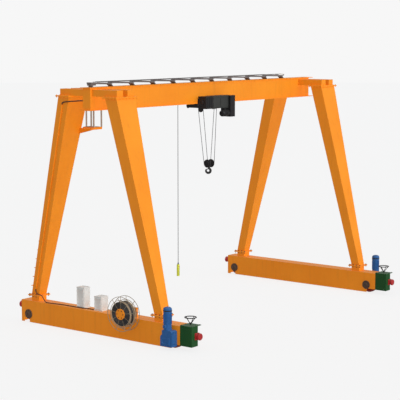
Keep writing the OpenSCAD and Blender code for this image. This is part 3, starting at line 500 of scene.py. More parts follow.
class Bench:
    """Models pieces with Blender's operators and hands them over to their bodies."""

    def __init__(self, finishes: Finishes) -> None:
        """Keeps the finishes."""
        self.finishes = finishes

    @staticmethod
    def only(*objects: bpy.types.Object) -> None:
        """Selects these objects alone.

        Args:
            *objects: The objects.
        """
        bpy.ops.object.select_all(action="DESELECT")
        for obj in objects:
            obj.select_set(True)
        bpy.context.view_layer.objects.active = objects[0]

    @staticmethod
    def settled(obj: bpy.types.Object) -> bpy.types.Object:
        """Moves an object's place into its mesh and returns it.

        Args:
            obj: The object.

        Returns:
            The object.
        """
        Bench.only(obj)
        bpy.ops.object.transform_apply(location=True, rotation=True, scale=True)
        return obj

    @staticmethod
    def shaped(obj: bpy.types.Object, kind: str, **settings: Any) -> bpy.types.Object:
        """Applies a modifier of this kind with these settings and returns the object.

        Args:
            obj: The object.
            kind: The modifier's type.
            **settings: The modifier's settings.

        Returns:
            The object.
        """
        Bench.only(obj)
        modifier = obj.modifiers.new(kind.lower(), kind)
        for key, value in settings.items():
            setattr(modifier, key, value)
        bpy.ops.object.modifier_apply(modifier=modifier.name)
        return obj

    @staticmethod
    def eased(obj: bpy.types.Object, width: float, segments: int = 1) -> bpy.types.Object:
        """Bevels an object's sharp edges."""
        return Bench.shaped(obj, "BEVEL", width=width, segments=segments, limit_method="ANGLE",
                            angle_limit=math.radians(40))

    @staticmethod
    def block(low: Sequence[float], high: Sequence[float], edge: float = 0.0, segments: int = 1) -> bpy.types.Object:
        """Makes a box between two corners.

        Args:
            low: The lowest corner.
            high: The highest corner.
            edge: Width of the bevel on its edges.
            segments: Faces across that bevel.

        Returns:
            The box.
        """
        low, high = Vector(low), Vector(high)
        bpy.ops.mesh.primitive_cube_add(size=1.0, location=(low + high) / 2)
        obj = bpy.context.object
        obj.scale = high - low
        Bench.settled(obj)
        return Bench.eased(obj, edge, segments) if edge else obj

    @staticmethod
    def panel(low: Sequence[float], high: Sequence[float], way: Vector, edge: float, segments: int,
              *insets: tuple[float, ...]) -> bpy.types.Object:
        """Makes a box with a face that is inset step by step.

        Args:
            low: The lowest corner.
            high: The highest corner.
            way: The direction that the face looks.
            edge: Width of the bevel on the box's edges.
            segments: Faces across that bevel.
            *insets: The width of each inset, and how deep it is sunk.

        Returns:
            The box.
        """
        return Bench.edit(Bench.block(low, high, edge, segments), facing(way), *(Bench.inset(*i) for i in insets))

    @staticmethod
    def rod(start: Vector, end: Vector, radius: float, sides: int = 32, edge: float = 0.0,
            segments: int = 1) -> bpy.types.Object:
        """Makes a cylinder or prism between two points.

        Args:
            start: The middle of its first end.
            end: The middle of its other end.
            radius: Its radius.
            sides: The number of its sides.
            edge: Width of the bevel on its rims.
            segments: Faces across that bevel.

        Returns:
            The cylinder.
        """
        start, end = Vector(start), Vector(end)
        bpy.ops.mesh.primitive_cylinder_add(vertices=sides, radius=radius, depth=(end - start).length)
        obj = bpy.context.object
        obj.data.transform(Matrix.Translation((start + end) / 2) @ turned_to(end - start))
        return Bench.eased(obj, edge, segments) if edge else obj

    @staticmethod
    def hoop(centre: Vector, axis: Vector, radius: float, thick: float, sides: int = 48,
             across: int = 8) -> bpy.types.Object:
        """Makes a round ring of this radius and thickness about an axis.

        Args:
            centre: The ring's middle.
            axis: The axis that it lies round.
            radius: The ring's radius.
            thick: How thick it is.
            sides: The number of its sides.
            across: The number of faces round its section.

        Returns:
            The object.
        """
        bpy.ops.mesh.primitive_torus_add(major_radius=radius, minor_radius=thick / 2, major_segments=sides,
                                         minor_segments=across)
        obj = bpy.context.object
        obj.data.transform(Matrix.Translation(Vector(centre)) @ turned_to(axis))
        return obj

    @staticmethod
    def hose(points: Iterable[Vector], thick: float, sides: int = 3) -> bpy.types.Object:
        """Makes a smooth tube of this thickness through points, as a mesh.

        Args:
            points: The points that it passes through.
            thick: How thick it is.
            sides: The number of its sides.

        Returns:
            The object.
        """
        obj = Bench.line("hose", points, thick, sides)
        Bench.only(obj)
        bpy.ops.object.convert(target="MESH")
        return bpy.context.object

    @staticmethod
    def line(name: str, points: Iterable[Vector], thick: float, sides: int = 3) -> bpy.types.Object:
        """Makes a curve of one open spline through points.

        Args:
            name: The name that the piece's parts share.
            points: The points that it passes through.
            thick: How thick it is.
            sides: The number of its sides.

        Returns:
            The object.
        """
        data = bpy.data.curves.new(name, "CURVE")
        data.dimensions = "3D"
        data.bevel_depth = thick / 2
        data.bevel_resolution = sides
        data.resolution_u = 4
        data.use_fill_caps = True
        points = [Vector(p) for p in points]
        spline = data.splines.new("BEZIER")
        spline.bezier_points.add(len(points) - 1)
        for n, (knot, place) in enumerate(zip(spline.bezier_points, points)):
            before, after = points[max(n - 1, 0)], points[min(n + 1, len(points) - 1)]
            along = (after - before).normalized()
            knot.co = place
            knot.handle_left_type = knot.handle_right_type = "FREE"
            knot.handle_left = place - along * (place - before).length / 3
            knot.handle_right = place + along * (after - place).length / 3
        return linked(name, data)

    @staticmethod
    def edit(obj: bpy.types.Object, pick: Callable[[Any], bool], *steps: Step) -> bpy.types.Object:
        """Runs edit-mode steps on some of an object's faces.

        Args:
            obj: The object.
            pick: Says of each face whether it is selected.
            *steps: The steps, in their order.

        Returns:
            The object.
        """
        Bench.only(obj)
        bpy.ops.object.mode_set(mode="EDIT")
        bpy.ops.mesh.select_mode(type="FACE")
        bpy.ops.mesh.select_all(action="DESELECT")
        bpy.ops.object.mode_set(mode="OBJECT")
        for face in obj.data.polygons:
            face.select = pick(face)
        bpy.ops.object.mode_set(mode="EDIT")
        for step in steps:
            step()
        bpy.ops.object.mode_set(mode="OBJECT")
        return obj

    @staticmethod
    def inset(width: float, depth: float = 0.0, apart: bool = False) -> Step:
        """Returns a step that insets the selected faces, and sinks them by depth."""
        return lambda: bpy.ops.mesh.inset(thickness=width, depth=-depth, use_individual=apart)

    @staticmethod
    def extrude(way: Vector) -> Step:
        """Returns a step that extrudes the selected faces by a vector."""
        return lambda: bpy.ops.mesh.extrude_region_move(TRANSFORM_OT_translate={"value": way})

    @staticmethod
    def shrink(factor: float) -> Step:
        """Returns a step that scales the selected faces about their middle."""
        return lambda: bpy.ops.transform.resize(value=(factor, factor, factor))

    @staticmethod
    def joined(*objects: bpy.types.Object) -> bpy.types.Object:
        """Joins objects into the first one and returns it.

        Args:
            *objects: The objects.

        Returns:
            The object.
        """
        if len(objects) > 1:
            Bench.only(*objects)
            bpy.ops.object.join()
        return objects[0]

    @staticmethod
    def copies(master: bpy.types.Object, places: Iterable[Matrix]) -> bpy.types.Object:
        """Copies a model, each copy with its own mesh, to places and joins the copies.

        Args:
            master: The model, which is taken away afterwards.
            places: The place of each copy.

        Returns:
            The joined copies.
        """
        made = []
        for place in places:
            mesh = master.data.copy()
            mesh.transform(place)
            made.append(linked(master.name, mesh))
        bpy.data.objects.remove(master)
        return Bench.joined(*made)

    def bolt(self, across: float, grip: float = 0.0) -> bpy.types.Object:
        """Makes a bolt that stands up Z from its seat at the origin.

        Args:
            across: Width of its head across the flats.
            grip: Thickness of what it holds together, where its nut shows below that.

        Returns:
            The bolt.
        """
        thin, high = across * 0.1, across * 0.6
        ends = [(0.0, 1.0, across * 0.2)] + ([(-grip, -1.0, across * 0.45)] if grip else [])
        made = []
        for seat, way, stud in ends:
            up = Z_AXIS * way
            base = Z_AXIS * seat
            made.append(self.rod(base, base + up * thin, across * 0.66, 16))
            head = self.rod(base + up * thin, base + up * (thin + high), across * 0.577, 6)
            self.edit(head, facing(up), self.inset(across * 0.07, -across * 0.05))
            made.append(head)
            made.append(self.rod(base + up * high, base + up * (thin + high + stud), across * 0.3, 10,
                                 across * 0.05))
        return self.joined(*made)

    def bolts(self, places: Iterable[Matrix], across: float, grip: float = 0.0) -> bpy.types.Object:
        """Makes one bolt and copies it to places."""
        return self.copies(self.bolt(across, grip), places)

    def give(self, obj: bpy.types.Object, name: str, body: Optional[Body], finish: str, angle: float = 35.0) -> bpy.types.Object:
        """Names a finished piece, gives it its finish and lets it ride on its body.

        Args:
            obj: The piece.
            name: Its name.
            body: What it moves with, or nothing, where it rides on no body.
            finish: The name of its finish.
            angle: Edges sharper than this many degrees stay sharp.

        Returns:
            The piece.
        """
        obj.name = obj.data.name = name
        obj.data.materials.clear()
        obj.data.materials.append(self.finishes.get(finish))
        if obj.type == "MESH":
            self.only(obj)
            bpy.ops.object.shade_smooth_by_angle(angle=math.radians(angle))
        if body:
            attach(obj, body.value)
        log.info("made %s on %s", name, body.value if body else "two bodies")
        return obj


def ring_places(centre: Vector, axis: Vector, radius: float, count: int, first: float = 0.0) -> list[Matrix]:
    """Returns places on a circle about an axis, each standing along the axis.

    Args:
        centre: The circle's middle.
        axis: The axis.
        radius: The circle's radius.
        count: The number of places.
        first: The turn of the first one, in degrees.

    Returns:
        The places.
    """
    base = Matrix.Translation(centre) @ turned_to(axis)
    return [base @ Matrix.Rotation(math.radians(first + 360 * n / count), 4, "Z")
            @ Matrix.Translation((radius, 0, 0)) for n in range(count)]


@dataclass
class Cords:
    """The pendant on its cable, and the brown cable from the leg to the low cabinet."""

    pendant_at: tuple[float, float] = (-1.313, 0.35)
    pendant_top: float = 7.6
    box_low: float = 1.25
    box_high: float = 1.71
    box_w: float = 0.09
    box_t: float = 0.075
    cable_d: float = 0.02
    brown_d: float = 0.034
    inside: float = 0.06
    knots: int = 24
    bend_r: float = 0.142
    swing_r: float = 0.15
    dip: float = 50.0
    swing: float = 30.0
    route_low: float = 0.215
    route_high: float = 0.26
    turn_y: float = 2.54
    swing_y: float = 0.6025
    last_y: float = 0.092
    sweep: tuple[tuple[float, float], ...] = (
        (0.203, 2.1), (0.19, 1.95), (0.165, 1.8), (0.142, 1.65), (0.13, 1.47), (0.128, 1.27), (0.131, 1.07),
        (0.135, 0.88))
    button_pitch: float = 0.055

    @staticmethod
    def conduit_at(z: float) -> Vector:
        """Returns the conduit's middle at a height above the leg's foot, on the left far leg."""
        side = HALF_SPAN + (LEG_FOOT_W + (LEG_HEAD_W - LEG_FOOT_W) * z / LEG_H) / 2
        return at(-side - CONDUIT_D / 2, LEG_FOOT_Y - (LEG_FOOT_Y - LEG_HEAD_Y) * z / LEG_H, LEG_FOOT + z)

    @staticmethod
    def bend(start: Vector, way: Vector, towards: Vector, radius: float, angle: float,
             steps: int) -> tuple[list[Vector], Vector]:
        """Follows a round bend.

        Args:
            start: Where the bend starts.
            way: The direction there.
            towards: The direction square to it that the bend turns to.
            radius: The bend's radius.
            angle: How far it turns, in degrees.
            steps: The number of points.

        Returns:
            The bend's points and the direction at its end.
        """
        turns = [math.radians(angle) * k / steps for k in range(1, steps + 1)]
        points = [start + radius * (math.sin(a) * way + (1 - math.cos(a)) * towards) for a in turns]
        last = math.radians(angle)
        return points, math.cos(last) * way + math.sin(last) * towards

    def brown_route(self) -> list[Vector]:
        """Returns the brown cable's points, as in the CAD model."""
        along, down = Vector((0, -1, 0)), Vector((0, 0, -1))
        low, high = self.conduit_at(self.route_low), self.conduit_at(LEG_H - self.route_high)
        way = (low - high).normalized()
        aside = (along - along.dot(way) * way).normalized()
        rest = BEAM_TOP + self.brown_d / 2 + 0.001
        route = [low + 0.001 * way, low + 0.014 * way]
        points, _ = self.bend(route[-1], way, aside, self.bend_r, math.degrees(math.acos(way.dot(along))), 6)
        route += points
        over = Vector((points[-1].x, at(0, self.turn_y, 0).y, points[-1].z))
        points, slope = self.bend(over, along, down, self.bend_r, self.dip, 3)
        route += [over, *points]
        dip = math.radians(self.dip)
        lost = 2 * self.bend_r * (1 - math.cos(dip))
        start = points[-1] + (over.z - rest - lost) / math.sin(dip) * slope
        level = -along.cross(down).cross(slope).normalized()
        points, _ = self.bend(start, slope, level, self.bend_r, self.dip, 3)
        route += [start, *points]
        route += [at(-HALF_SPAN - out, y, rest) for out, y in self.sweep]
        start = at(-HALF_SPAN - self.sweep[-1][0], self.swing_y, rest)
        points, slope = self.bend(start, along, X_AXIS, self.swing_r, self.swing, 3)
        back = points[-1] + 0.04 * slope
        route += [start, *points, back]
        points, _ = self.bend(back, slope, Vector((slope.y, -slope.x, 0)), self.swing_r, self.swing, 3)
        return route + points + [Vector((points[-1].x, at(0, self.last_y, 0).y, rest))]

    def build(self, bench: Bench) -> None:
        """Makes both cords and what hangs on them.

        Args:
            bench: The bench that the pieces are made on.
        """
        x, y = self.pendant_at
        top, low = at(x, y, self.pendant_top), at(x, y, self.box_low + self.inside)
        points = [top.lerp(low, n / self.knots) for n in range(self.knots + 1)]
        cable = bench.line("pendant_line", points, self.cable_d, 4)
        bench.give(cable, "pendant_line", Body.TROLLEY, "cable_rubber")
        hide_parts("pendant_cable")
        box = self.pendant(bench)
        relief = self.relief(bench)
        self.buttons(bench)
        route = self.brown_route()
        brown = bench.line("beam_cable", route, self.brown_d, 4)
        bench.give(brown, "beam_cable", Body.FRAME, "brown_rubber")
        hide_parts("control_cable")
        length = sum((b - a).length for a, b in zip(route, route[1:]))

    def pendant(self, bench: Bench) -> bpy.types.Object:
        """Makes the pendant's body, with a front panel and a parting line.

        Args:
            bench: The bench that the pieces are made on.

        Returns:
            The object.
        """
        x, y = self.pendant_at
        w, t = self.box_w / 2, self.box_t / 2
        box = bench.block(at(x - w, y - t, self.box_low), at(x + w, y + t, self.box_high - 0.03), 0.012, 3)
        front = bench.panel(at(x - w + 0.014, y - t, self.box_low + 0.02),
                            at(x + w - 0.014, y - t + 0.02, self.box_high - 0.05), -Y_AXIS, 0.003, 1,
                            (0.006, 0.002))
        whole = bench.joined(box, front)
        bench.give(whole, "pendant_case", Body.TROLLEY, "pendant_yellow")
        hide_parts("pendant_box")
        return whole

    def relief(self, bench: Bench) -> bpy.types.Object:
        """Makes the tapered sleeve where the cable leaves the pendant.

        Args:
            bench: The bench that the pieces are made on.

        Returns:
            The object.
        """
        x, y = self.pendant_at
        sleeve = bench.rod(at(x, y, self.box_high - 0.032), at(x, y, self.box_high - 0.012), 0.026, 24)
        bench.edit(sleeve, facing(Z_AXIS), bench.extrude(Z_AXIS * 0.025), bench.shrink(0.8),
                   bench.extrude(Z_AXIS * 0.03), bench.shrink(0.65))
        eye = bench.hoop(at(x, y, self.box_high - 0.02), Z_AXIS, 0.027, 0.008, 24, 6)
        return bench.give(bench.joined(sleeve, eye), "pendant_sleeve", Body.TROLLEY, "cable_rubber")

    def buttons(self, bench: Bench) -> list[bpy.types.Object]:
        """Makes the pendant's plain push buttons and its stop button.

        Args:
            bench: The bench that the pieces are made on.

        Returns:
            The pieces.
        """
        x, y = self.pendant_at
        face = y - self.box_t / 2 - 0.002
        key = bench.rod(ORIGIN, Vector((0, -0.008, 0)), 0.014, 20, 0.002)
        collar = bench.rod(ORIGIN, Vector((0, -0.004, 0)), 0.018, 20)
        rows = [self.box_low + 0.06 + self.button_pitch * n for n in range(5)]
        keys = bench.copies(bench.joined(key, collar), [Matrix.Translation(at(x, face + 0.002, z)) for z in rows])
        stop = bench.rod(at(x, face + 0.002, rows[-1] + 0.065), at(x, face - 0.02, rows[-1] + 0.065), 0.019, 24,
                         0.005, 2)
        return [bench.give(keys, "pendant_keys", Body.TROLLEY, "cable_rubber"),
                bench.give(stop, "pendant_stop", Body.TROLLEY, "red_rubber")]


@dataclass
class LegJoints:
    """Bolts through the plates at the legs' feet and heads, and the conduit's clips."""

    foot_ring: float = 0.228
    foot_across: float = 0.038
    head_z: float = 7.99
    head_x: float = 0.508
    head_ring: float = 0.275
    head_across: float = 0.03
    plates: float = 0.04
    clips: int = 9
    first_clip: float = 0.45
    last_clip: float = 6.4

    def foot_places(self) -> list[Matrix]:
        """Returns the places of the bolts at the legs' feet, save the one that the brown cable covers."""
        ring = [self.foot_ring * n / 3 for n in (-3, -1, 1, 3)]
        square = [(a, b) for a in (ring[0], ring[-1]) for b in ring]
        return [Matrix.Translation(at(sx * HALF_SPAN + a, sy * LEG_FOOT_Y + b, LEG_FOOT))
                for sx in (-1, 1) for sy in (-1, 1) for a, b in square
                if not (sx < 0 < sy and a == b == ring[0])]

    def head_places(self) -> list[Matrix]:
        """Returns the places of the bolts around the legs' heads."""
        out = [(self.head_x * n / 3, self.head_ring) for n in range(-3, 4)]
        sides = [(s * self.head_x, self.head_ring * n / 2) for s in (-1, 1) for n in (-1, 0, 1)]
        under = [(n * self.head_x, -self.head_ring) for n in (-1, 0, 1)]
        return [Matrix.Translation(at(sx * HALF_SPAN + a, sy * (LEG_HEAD_Y + b), self.head_z))
                for sx in (-1, 1) for sy in (-1, 1) for a, b in out + sides + under]

    def build(self, bench: Bench) -> None:
        """Makes the bolts and the clips.

        Args:
            bench: The bench that the pieces are made on.
        """
        feet = bench.bolts(self.foot_places(), self.foot_across, self.plates)
        bench.give(feet, "foot_bolts", Body.FRAME, "brown_bolt")
        heads = bench.bolts(self.head_places(), self.head_across, self.plates)
        bench.give(heads, "head_bolts", Body.FRAME, "orange_paint")
        self.conduit_clips(bench)

    def conduit_clips(self, bench: Bench) -> None:
        """Makes the bands that hold the conduit to the leg.

        Args:
            bench: The bench that the pieces are made on.
        """
        low, high = Cords.conduit_at(self.first_clip), Cords.conduit_at(self.last_clip)
        way = (high - low).normalized()
        band = bench.rod(Vector((0, 0, -0.02)), Vector((0, 0, 0.02)), 0.0255, 24, 0.002)
        lug = bench.block((-0.004, -0.06, -0.02), (0.018, 0.06, 0.02), 0.003)
        clip = bench.joined(band, lug)
        frame_of = Matrix((X_AXIS, way.cross(X_AXIS), way)).transposed().to_4x4()
        places = [Matrix.Translation(low.lerp(high, n / (self.clips - 1))) @ frame_of for n in range(self.clips)]
        bench.give(bench.copies(clip, places), "conduit_clips", Body.FRAME, "orange_paint")


@dataclass
class EndBeams:
    """Fittings of the end beams: bearing screws, buffer plates and ribs."""

    axle_z: float = 0.315
    cover_bolts: int = 6
    cover_ring: float = 0.132
    screw: float = 0.024
    cap_r: float = 0.075
    cap_t: float = 0.012
    near_buffer: tuple[float, float] = (0.485, 0.165)
    far_buffer: tuple[float, float] = (0.56, 0.29)
    rib_at: float = 0.4
    rib_r: float = 0.0745
    plate_half: float = 0.11
    plate_t: float = 0.014
    screw_at: float = 0.09

    def build(self, bench: Bench) -> None:
        """Makes the screws of the bearing covers and the buffers' plates."""
        self.screws(bench)
        self.buffer_trim(bench)

    def screws(self, bench: Bench) -> None:
        """Makes the screws and the grease cap of each bearing cover.

        Args:
            bench: The bench that the pieces are made on.
        """
        places, caps = [], []
        x_low, x_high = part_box("axle_covers")[0][0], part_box("axle_covers")[1][0]
        for side, outer, node in ((-1, x_low, "left_near_wheel"), (-1, x_low, "left_far_wheel"),
                                  (1, x_high, "right_near_wheel"), (1, x_high, "right_far_wheel")):
            low, high = corners(node)
            for way in (-1, 1):
                face = outer if way == side else 2 * (MIDDLE.x + side * HALF_SPAN) - outer
                centre = Vector((face, (low.y + high.y) / 2, self.axle_z))
                places += ring_places(centre, X_AXIS * way, self.cover_ring, self.cover_bolts, 30)
                caps.append(Matrix.Translation(centre) @ turned_to(X_AXIS * way))
        bench.give(bench.bolts(places, self.screw), "cover_screws", Body.FRAME, "bolt_steel")
        cap = bench.rod(ORIGIN, Z_AXIS * self.cap_t, self.cap_r, 32, 0.004, 2)
        bench.edit(cap, facing(Z_AXIS), bench.inset(0.03), bench.inset(0.004, 0.004))
        bench.give(bench.copies(cap, caps), "cover_caps", Body.FRAME, "cover_steel")

    def buffer_trim(self, bench: Bench) -> None:
        """Makes the foot plate and the ribs of each buffer.

        Args:
            bench: The bench that the pieces are made on.
        """
        low, high = corners("buffers")
        plates, ribs = [], []
        for side in (-1, 1):
            x = MIDDLE.x + side * HALF_SPAN
            for y, way, (z, length) in ((low.y, -Y_AXIS, self.near_buffer), (high.y, Y_AXIS, self.far_buffer)):
                seat = Vector((x, y, z)) - way * length
                plates.append(Matrix.Translation(seat) @ turned_to(way))
                ribs.append(Matrix.Translation(seat + way * length * self.rib_at) @ turned_to(way))
        half = self.plate_half
        plate = bench.panel((-half, -half, 0.001), (half, half, self.plate_t), Z_AXIS, 0.003, 1, (0.012,))
        spots = [Matrix.Translation((a, b, self.plate_t)) for a in (-self.screw_at, self.screw_at)
                 for b in (-self.screw_at, self.screw_at)]
        screws = bench.bolts(spots, self.screw)
        rib = bench.hoop(ORIGIN, Z_AXIS, self.rib_r, 0.012, 40, 8)
        bench.give(bench.copies(plate, plates), "buffer_plates", Body.FRAME, "red_rubber")
        bench.give(bench.copies(screws, plates), "buffer_screws", Body.FRAME, "red_rubber")
        bench.give(bench.copies(rib, ribs), "buffer_ribs", Body.FRAME, "red_rubber")


@dataclass
class TravelDrives:
    """Covers, screws, fins and boxes of the two travel drives."""

    cover_t: float = 0.012
    screw: float = 0.022
    screw_in: float = 0.022
    fins: int = 28
    fin_low: float = 0.20
    fin_high: float = 0.53
    band_z: float = 0.56
    crown_z: float = 0.735
    # Heights of three black rings that paint the shade of a groove at the motor cowl's joint.
    groove_shade_z: tuple[float, ...] = (0.617, 0.63, 0.643)
    flange_t: float = 0.024
    motor_bolt: float = 0.018

    def build(self, bench: Bench) -> None:
        """Makes the trim of both drives.

        Args:
            bench: The bench that the pieces are made on.
        """
        for side, name in ((-1, "left"), (1, "right")):
            self.gearbox(bench, side, name)
            self.motor(bench, side, name)

    def gearbox(self, bench: Bench, side: int, name: str) -> None:
        """Makes the cover, the screws and the plug of a gearbox.

        Args:
            bench: The bench that the pieces are made on.
            side: -1 on the left end frame and 1 on the right one.
            name: The name that the piece's parts share.
        """
        low, high = corners(f"{name}_gearbox")
        face = low.x if side < 0 else high.x
        out = X_AXIS * side
        y0, y1, z0, z1 = low.y + 0.05, high.y - 0.05, low.z + 0.05, high.z - 0.23
        outer, edge = face + side * self.cover_t, self.screw_in
        plate = bench.panel((min(face, outer), y0, z0), (max(face, outer), y1, z1), out, 0.004, 2, (0.05,),
                            (0.004, 0.003))
        turn = turned_to(out)
        screws = bench.bolts([Matrix.Translation((outer, y, z)) @ turn for y in (y0 + edge, (y0 + y1) / 2, y1 - edge)
                              for z in (z0 + edge, z1 - edge)], self.screw)
        rib = bench.panel((low.x + 0.02, low.y, z0 + 0.02), (high.x - 0.02, low.y + 0.001, high.z - 0.03), -Y_AXIS,
                          0.0, 1, (0.02,), (0.003, 0.001))
        plug = bench.rod(Vector((face, y0 + 0.1, z0 + 0.03)), Vector((face + side * 0.03, y0 + 0.1, z0 + 0.03)),
                         0.02, 6, 0.003)
        bench.give(bench.joined(plate, rib, plug), f"{name}_gear_cover", Body.FRAME, "blue_paint")
        bench.give(screws, f"{name}_gear_screws", Body.FRAME, "blue_paint")

    def motor(self, bench: Bench, side: int, name: str) -> None:
        """Makes the flange, the fins, the terminal box and the cowl's band of a motor.

        Args:
            bench: The bench that the pieces are made on.
            side: -1 on the left end frame and 1 on the right one.
            name: The name that the piece's parts share.
        """
        low, high = corners(f"{name}_motor")
        centre = (low + high) / 2
        radius = (high.x - low.x) / 2
        base = Vector((centre.x, centre.y, low.z))
        flange = bench.rod(base + Z_AXIS * 0.002, base + Z_AXIS * self.flange_t, radius - 0.002, 40, 0.004)
        fin = bench.block((radius - 0.012, -0.0025, self.fin_low), (radius - 0.0005, 0.0025, self.fin_high), 0.001)
        turns = [Matrix.Translation(base) @ Matrix.Rotation(math.tau * n / self.fins, 4, "Z")
                 for n in range(self.fins)]
        fins = bench.copies(fin, turns)
        band = bench.hoop(base + Z_AXIS * self.band_z, Z_AXIS, radius - 0.003, 0.01)
        crown = bench.hoop(base + Z_AXIS * self.crown_z, Z_AXIS, radius * 0.42, 0.009)
        face = Vector((low.x if side < 0 else high.x, centre.y, low.z + 0.13))
        near, far = sorted((face.x - side * 0.02, face.x + side * 0.045))
        box = bench.block((near, face.y - 0.055, face.z - 0.05), (far, face.y + 0.055, face.z + 0.05), 0.006, 2)
        bench.edit(box, facing(X_AXIS * side), bench.inset(0.01), bench.extrude(X_AXIS * side * 0.005))
        low_end = face + Vector((side * 0.022, 0, -0.045))
        gland = bench.rod(low_end, low_end - Z_AXIS * 0.03, 0.014, 12, 0.002)
        bench.give(bench.joined(flange, fins, band, crown, box, gland), f"{name}_motor_trim", Body.FRAME,
                   "blue_paint")
        # Painted shade: three black rings stand in for the dark groove at the cowl's joint, which is not modelled.
        groove_shade = [bench.hoop(base + Z_AXIS * z, Z_AXIS, radius - 0.001, 0.013) for z in self.groove_shade_z]
        bench.give(bench.joined(*groove_shade), f"{name}_motor_groove_shade", Body.FRAME, "black_iron")
        spots = ring_places(base + Z_AXIS * self.flange_t, Z_AXIS, radius - 0.02, 8, 22.5)
        bench.give(bench.bolts(spots, self.motor_bolt), f"{name}_motor_bolts", Body.FRAME, "blue_paint")


@dataclass
class RailClamps:
    """Lid bolts, doors and side ribs of the rail clamps, and the nuts on their handwheels' screws."""

    box_x: float = 0.32
    lid_bolt: float = 0.024
    lug_up: float = 0.05
    screw_r: float = 0.01

    def build(self, bench: Bench) -> None:
        """Makes the trim of both clamps.

        Args:
            bench: The bench that the pieces are made on.
        """
        for side, name, body in ((-1, "left", Body.LEFT_HANDWHEEL), (1, "right", Body.RIGHT_HANDWHEEL)):
            low, high = corners(f"{name}_clamp_box")
            wheel_low, wheel_high = corners(f"{name}_handwheel")
            hub = Vector(((wheel_low.x + wheel_high.x) / 2, (wheel_low.y + wheel_high.y) / 2, high.z))
            spots = [Matrix.Translation((x, y, high.z)) for x in (low.x + 0.03, (low.x + high.x) / 2, high.x - 0.03)
                     for y in (low.y + 0.035, high.y - 0.03)]
            bench.give(bench.bolts(spots, self.lid_bolt), f"{name}_lid_bolts", Body.FRAME, "green_paint")
            door = bench.panel((low.x - 0.008, low.y + 0.06, low.z + 0.07),
                               (low.x + 0.002, high.y - 0.06, high.z - 0.09), -X_AXIS, 0.003, 1,
                               (0.02,), (0.004, 0.004))
            side_x = low.x + self.box_x
            rib = bench.block((low.x + 0.012, low.y, low.z + 0.012), (side_x - 0.01, low.y + 0.0105, low.z + 0.09),
                              0.003)
            boss = Vector((side_x, low.y + 0.075, (low.z + high.z) / 2 + self.lug_up))
            lug = bench.rod(boss - X_AXIS * 0.002, boss + X_AXIS * 0.02, 0.045, 32, 0.006, 2)
            bench.give(bench.joined(door, rib, lug), f"{name}_clamp_door", Body.FRAME, "green_paint")
            stub = bench.rod(hub + Z_AXIS * 0.03, hub + Z_AXIS * 0.066, self.screw_r, 20, 0.002)
            threads = [bench.hoop(hub + Z_AXIS * (0.052 + 0.003 * n), Z_AXIS, 0.0098, 0.0024, 20, 6)
                       for n in range(4)]
            nut = bench.rod(hub + Z_AXIS * 0.04, hub + Z_AXIS * 0.05, 0.019, 6, 0.002)
            bench.give(bench.joined(stub, nut, *threads), f"{name}_wheel_nut", body, "black_iron")


@dataclass
class CableReel:
    """Turns of cable on the reel, and its hub's bolts and trim."""

    turns: int = 9
    layers: int = 7
    cable_d: float = 0.028
    hub_bolts: int = 6
    bolt_ring: float = 0.13
    hub_rim: float = 0.168
    cap_r: float = 0.06

    def build(self, bench: Bench) -> None:
        """Makes the cable's turns and the hub's details.

        Args:
            bench: The bench that the pieces are made on.
        """
        low, high = corners("reel_winding")
        centre = (low + high) / 2
        radius = (high.z - low.z) / 2
        pitch = (high.x - low.x) / self.turns
        hoops = [bench.hoop(Vector((low.x + pitch * (n + 0.5), centre.y, centre.z)), X_AXIS,
                            radius - self.cable_d * 0.32, self.cable_d, 64, 8) for n in range(self.turns)]
        sides = [bench.hoop(Vector((x, centre.y, centre.z)), X_AXIS, radius - self.cable_d * (n + 1.6),
                            self.cable_d * 0.96, 56, 8)
                 for x in (low.x + 0.001, high.x - 0.001) for n in range(self.layers)]
        bench.give(bench.joined(*hoops, *sides), "reel_cable_turns", Body.REEL, "cable_rubber")
        front = Vector((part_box("reel_hub")[0][0], centre.y, centre.z))
        bolts = bench.bolts(ring_places(front, -X_AXIS, self.bolt_ring, self.hub_bolts), 0.026)
        bench.give(bolts, "reel_hub_bolts", Body.REEL, "bolt_steel")
        cap = bench.rod(front + X_AXIS * 0.001, front - X_AXIS * 0.0005, self.cap_r, 40)
        rim = bench.hoop(front + X_AXIS * 0.004, X_AXIS, self.hub_rim, 0.012)
        bench.edit(cap, facing(-X_AXIS), bench.inset(0.012))
        bench.give(bench.joined(cap, rim), "reel_hub_trim", Body.REEL, "orange_paint")


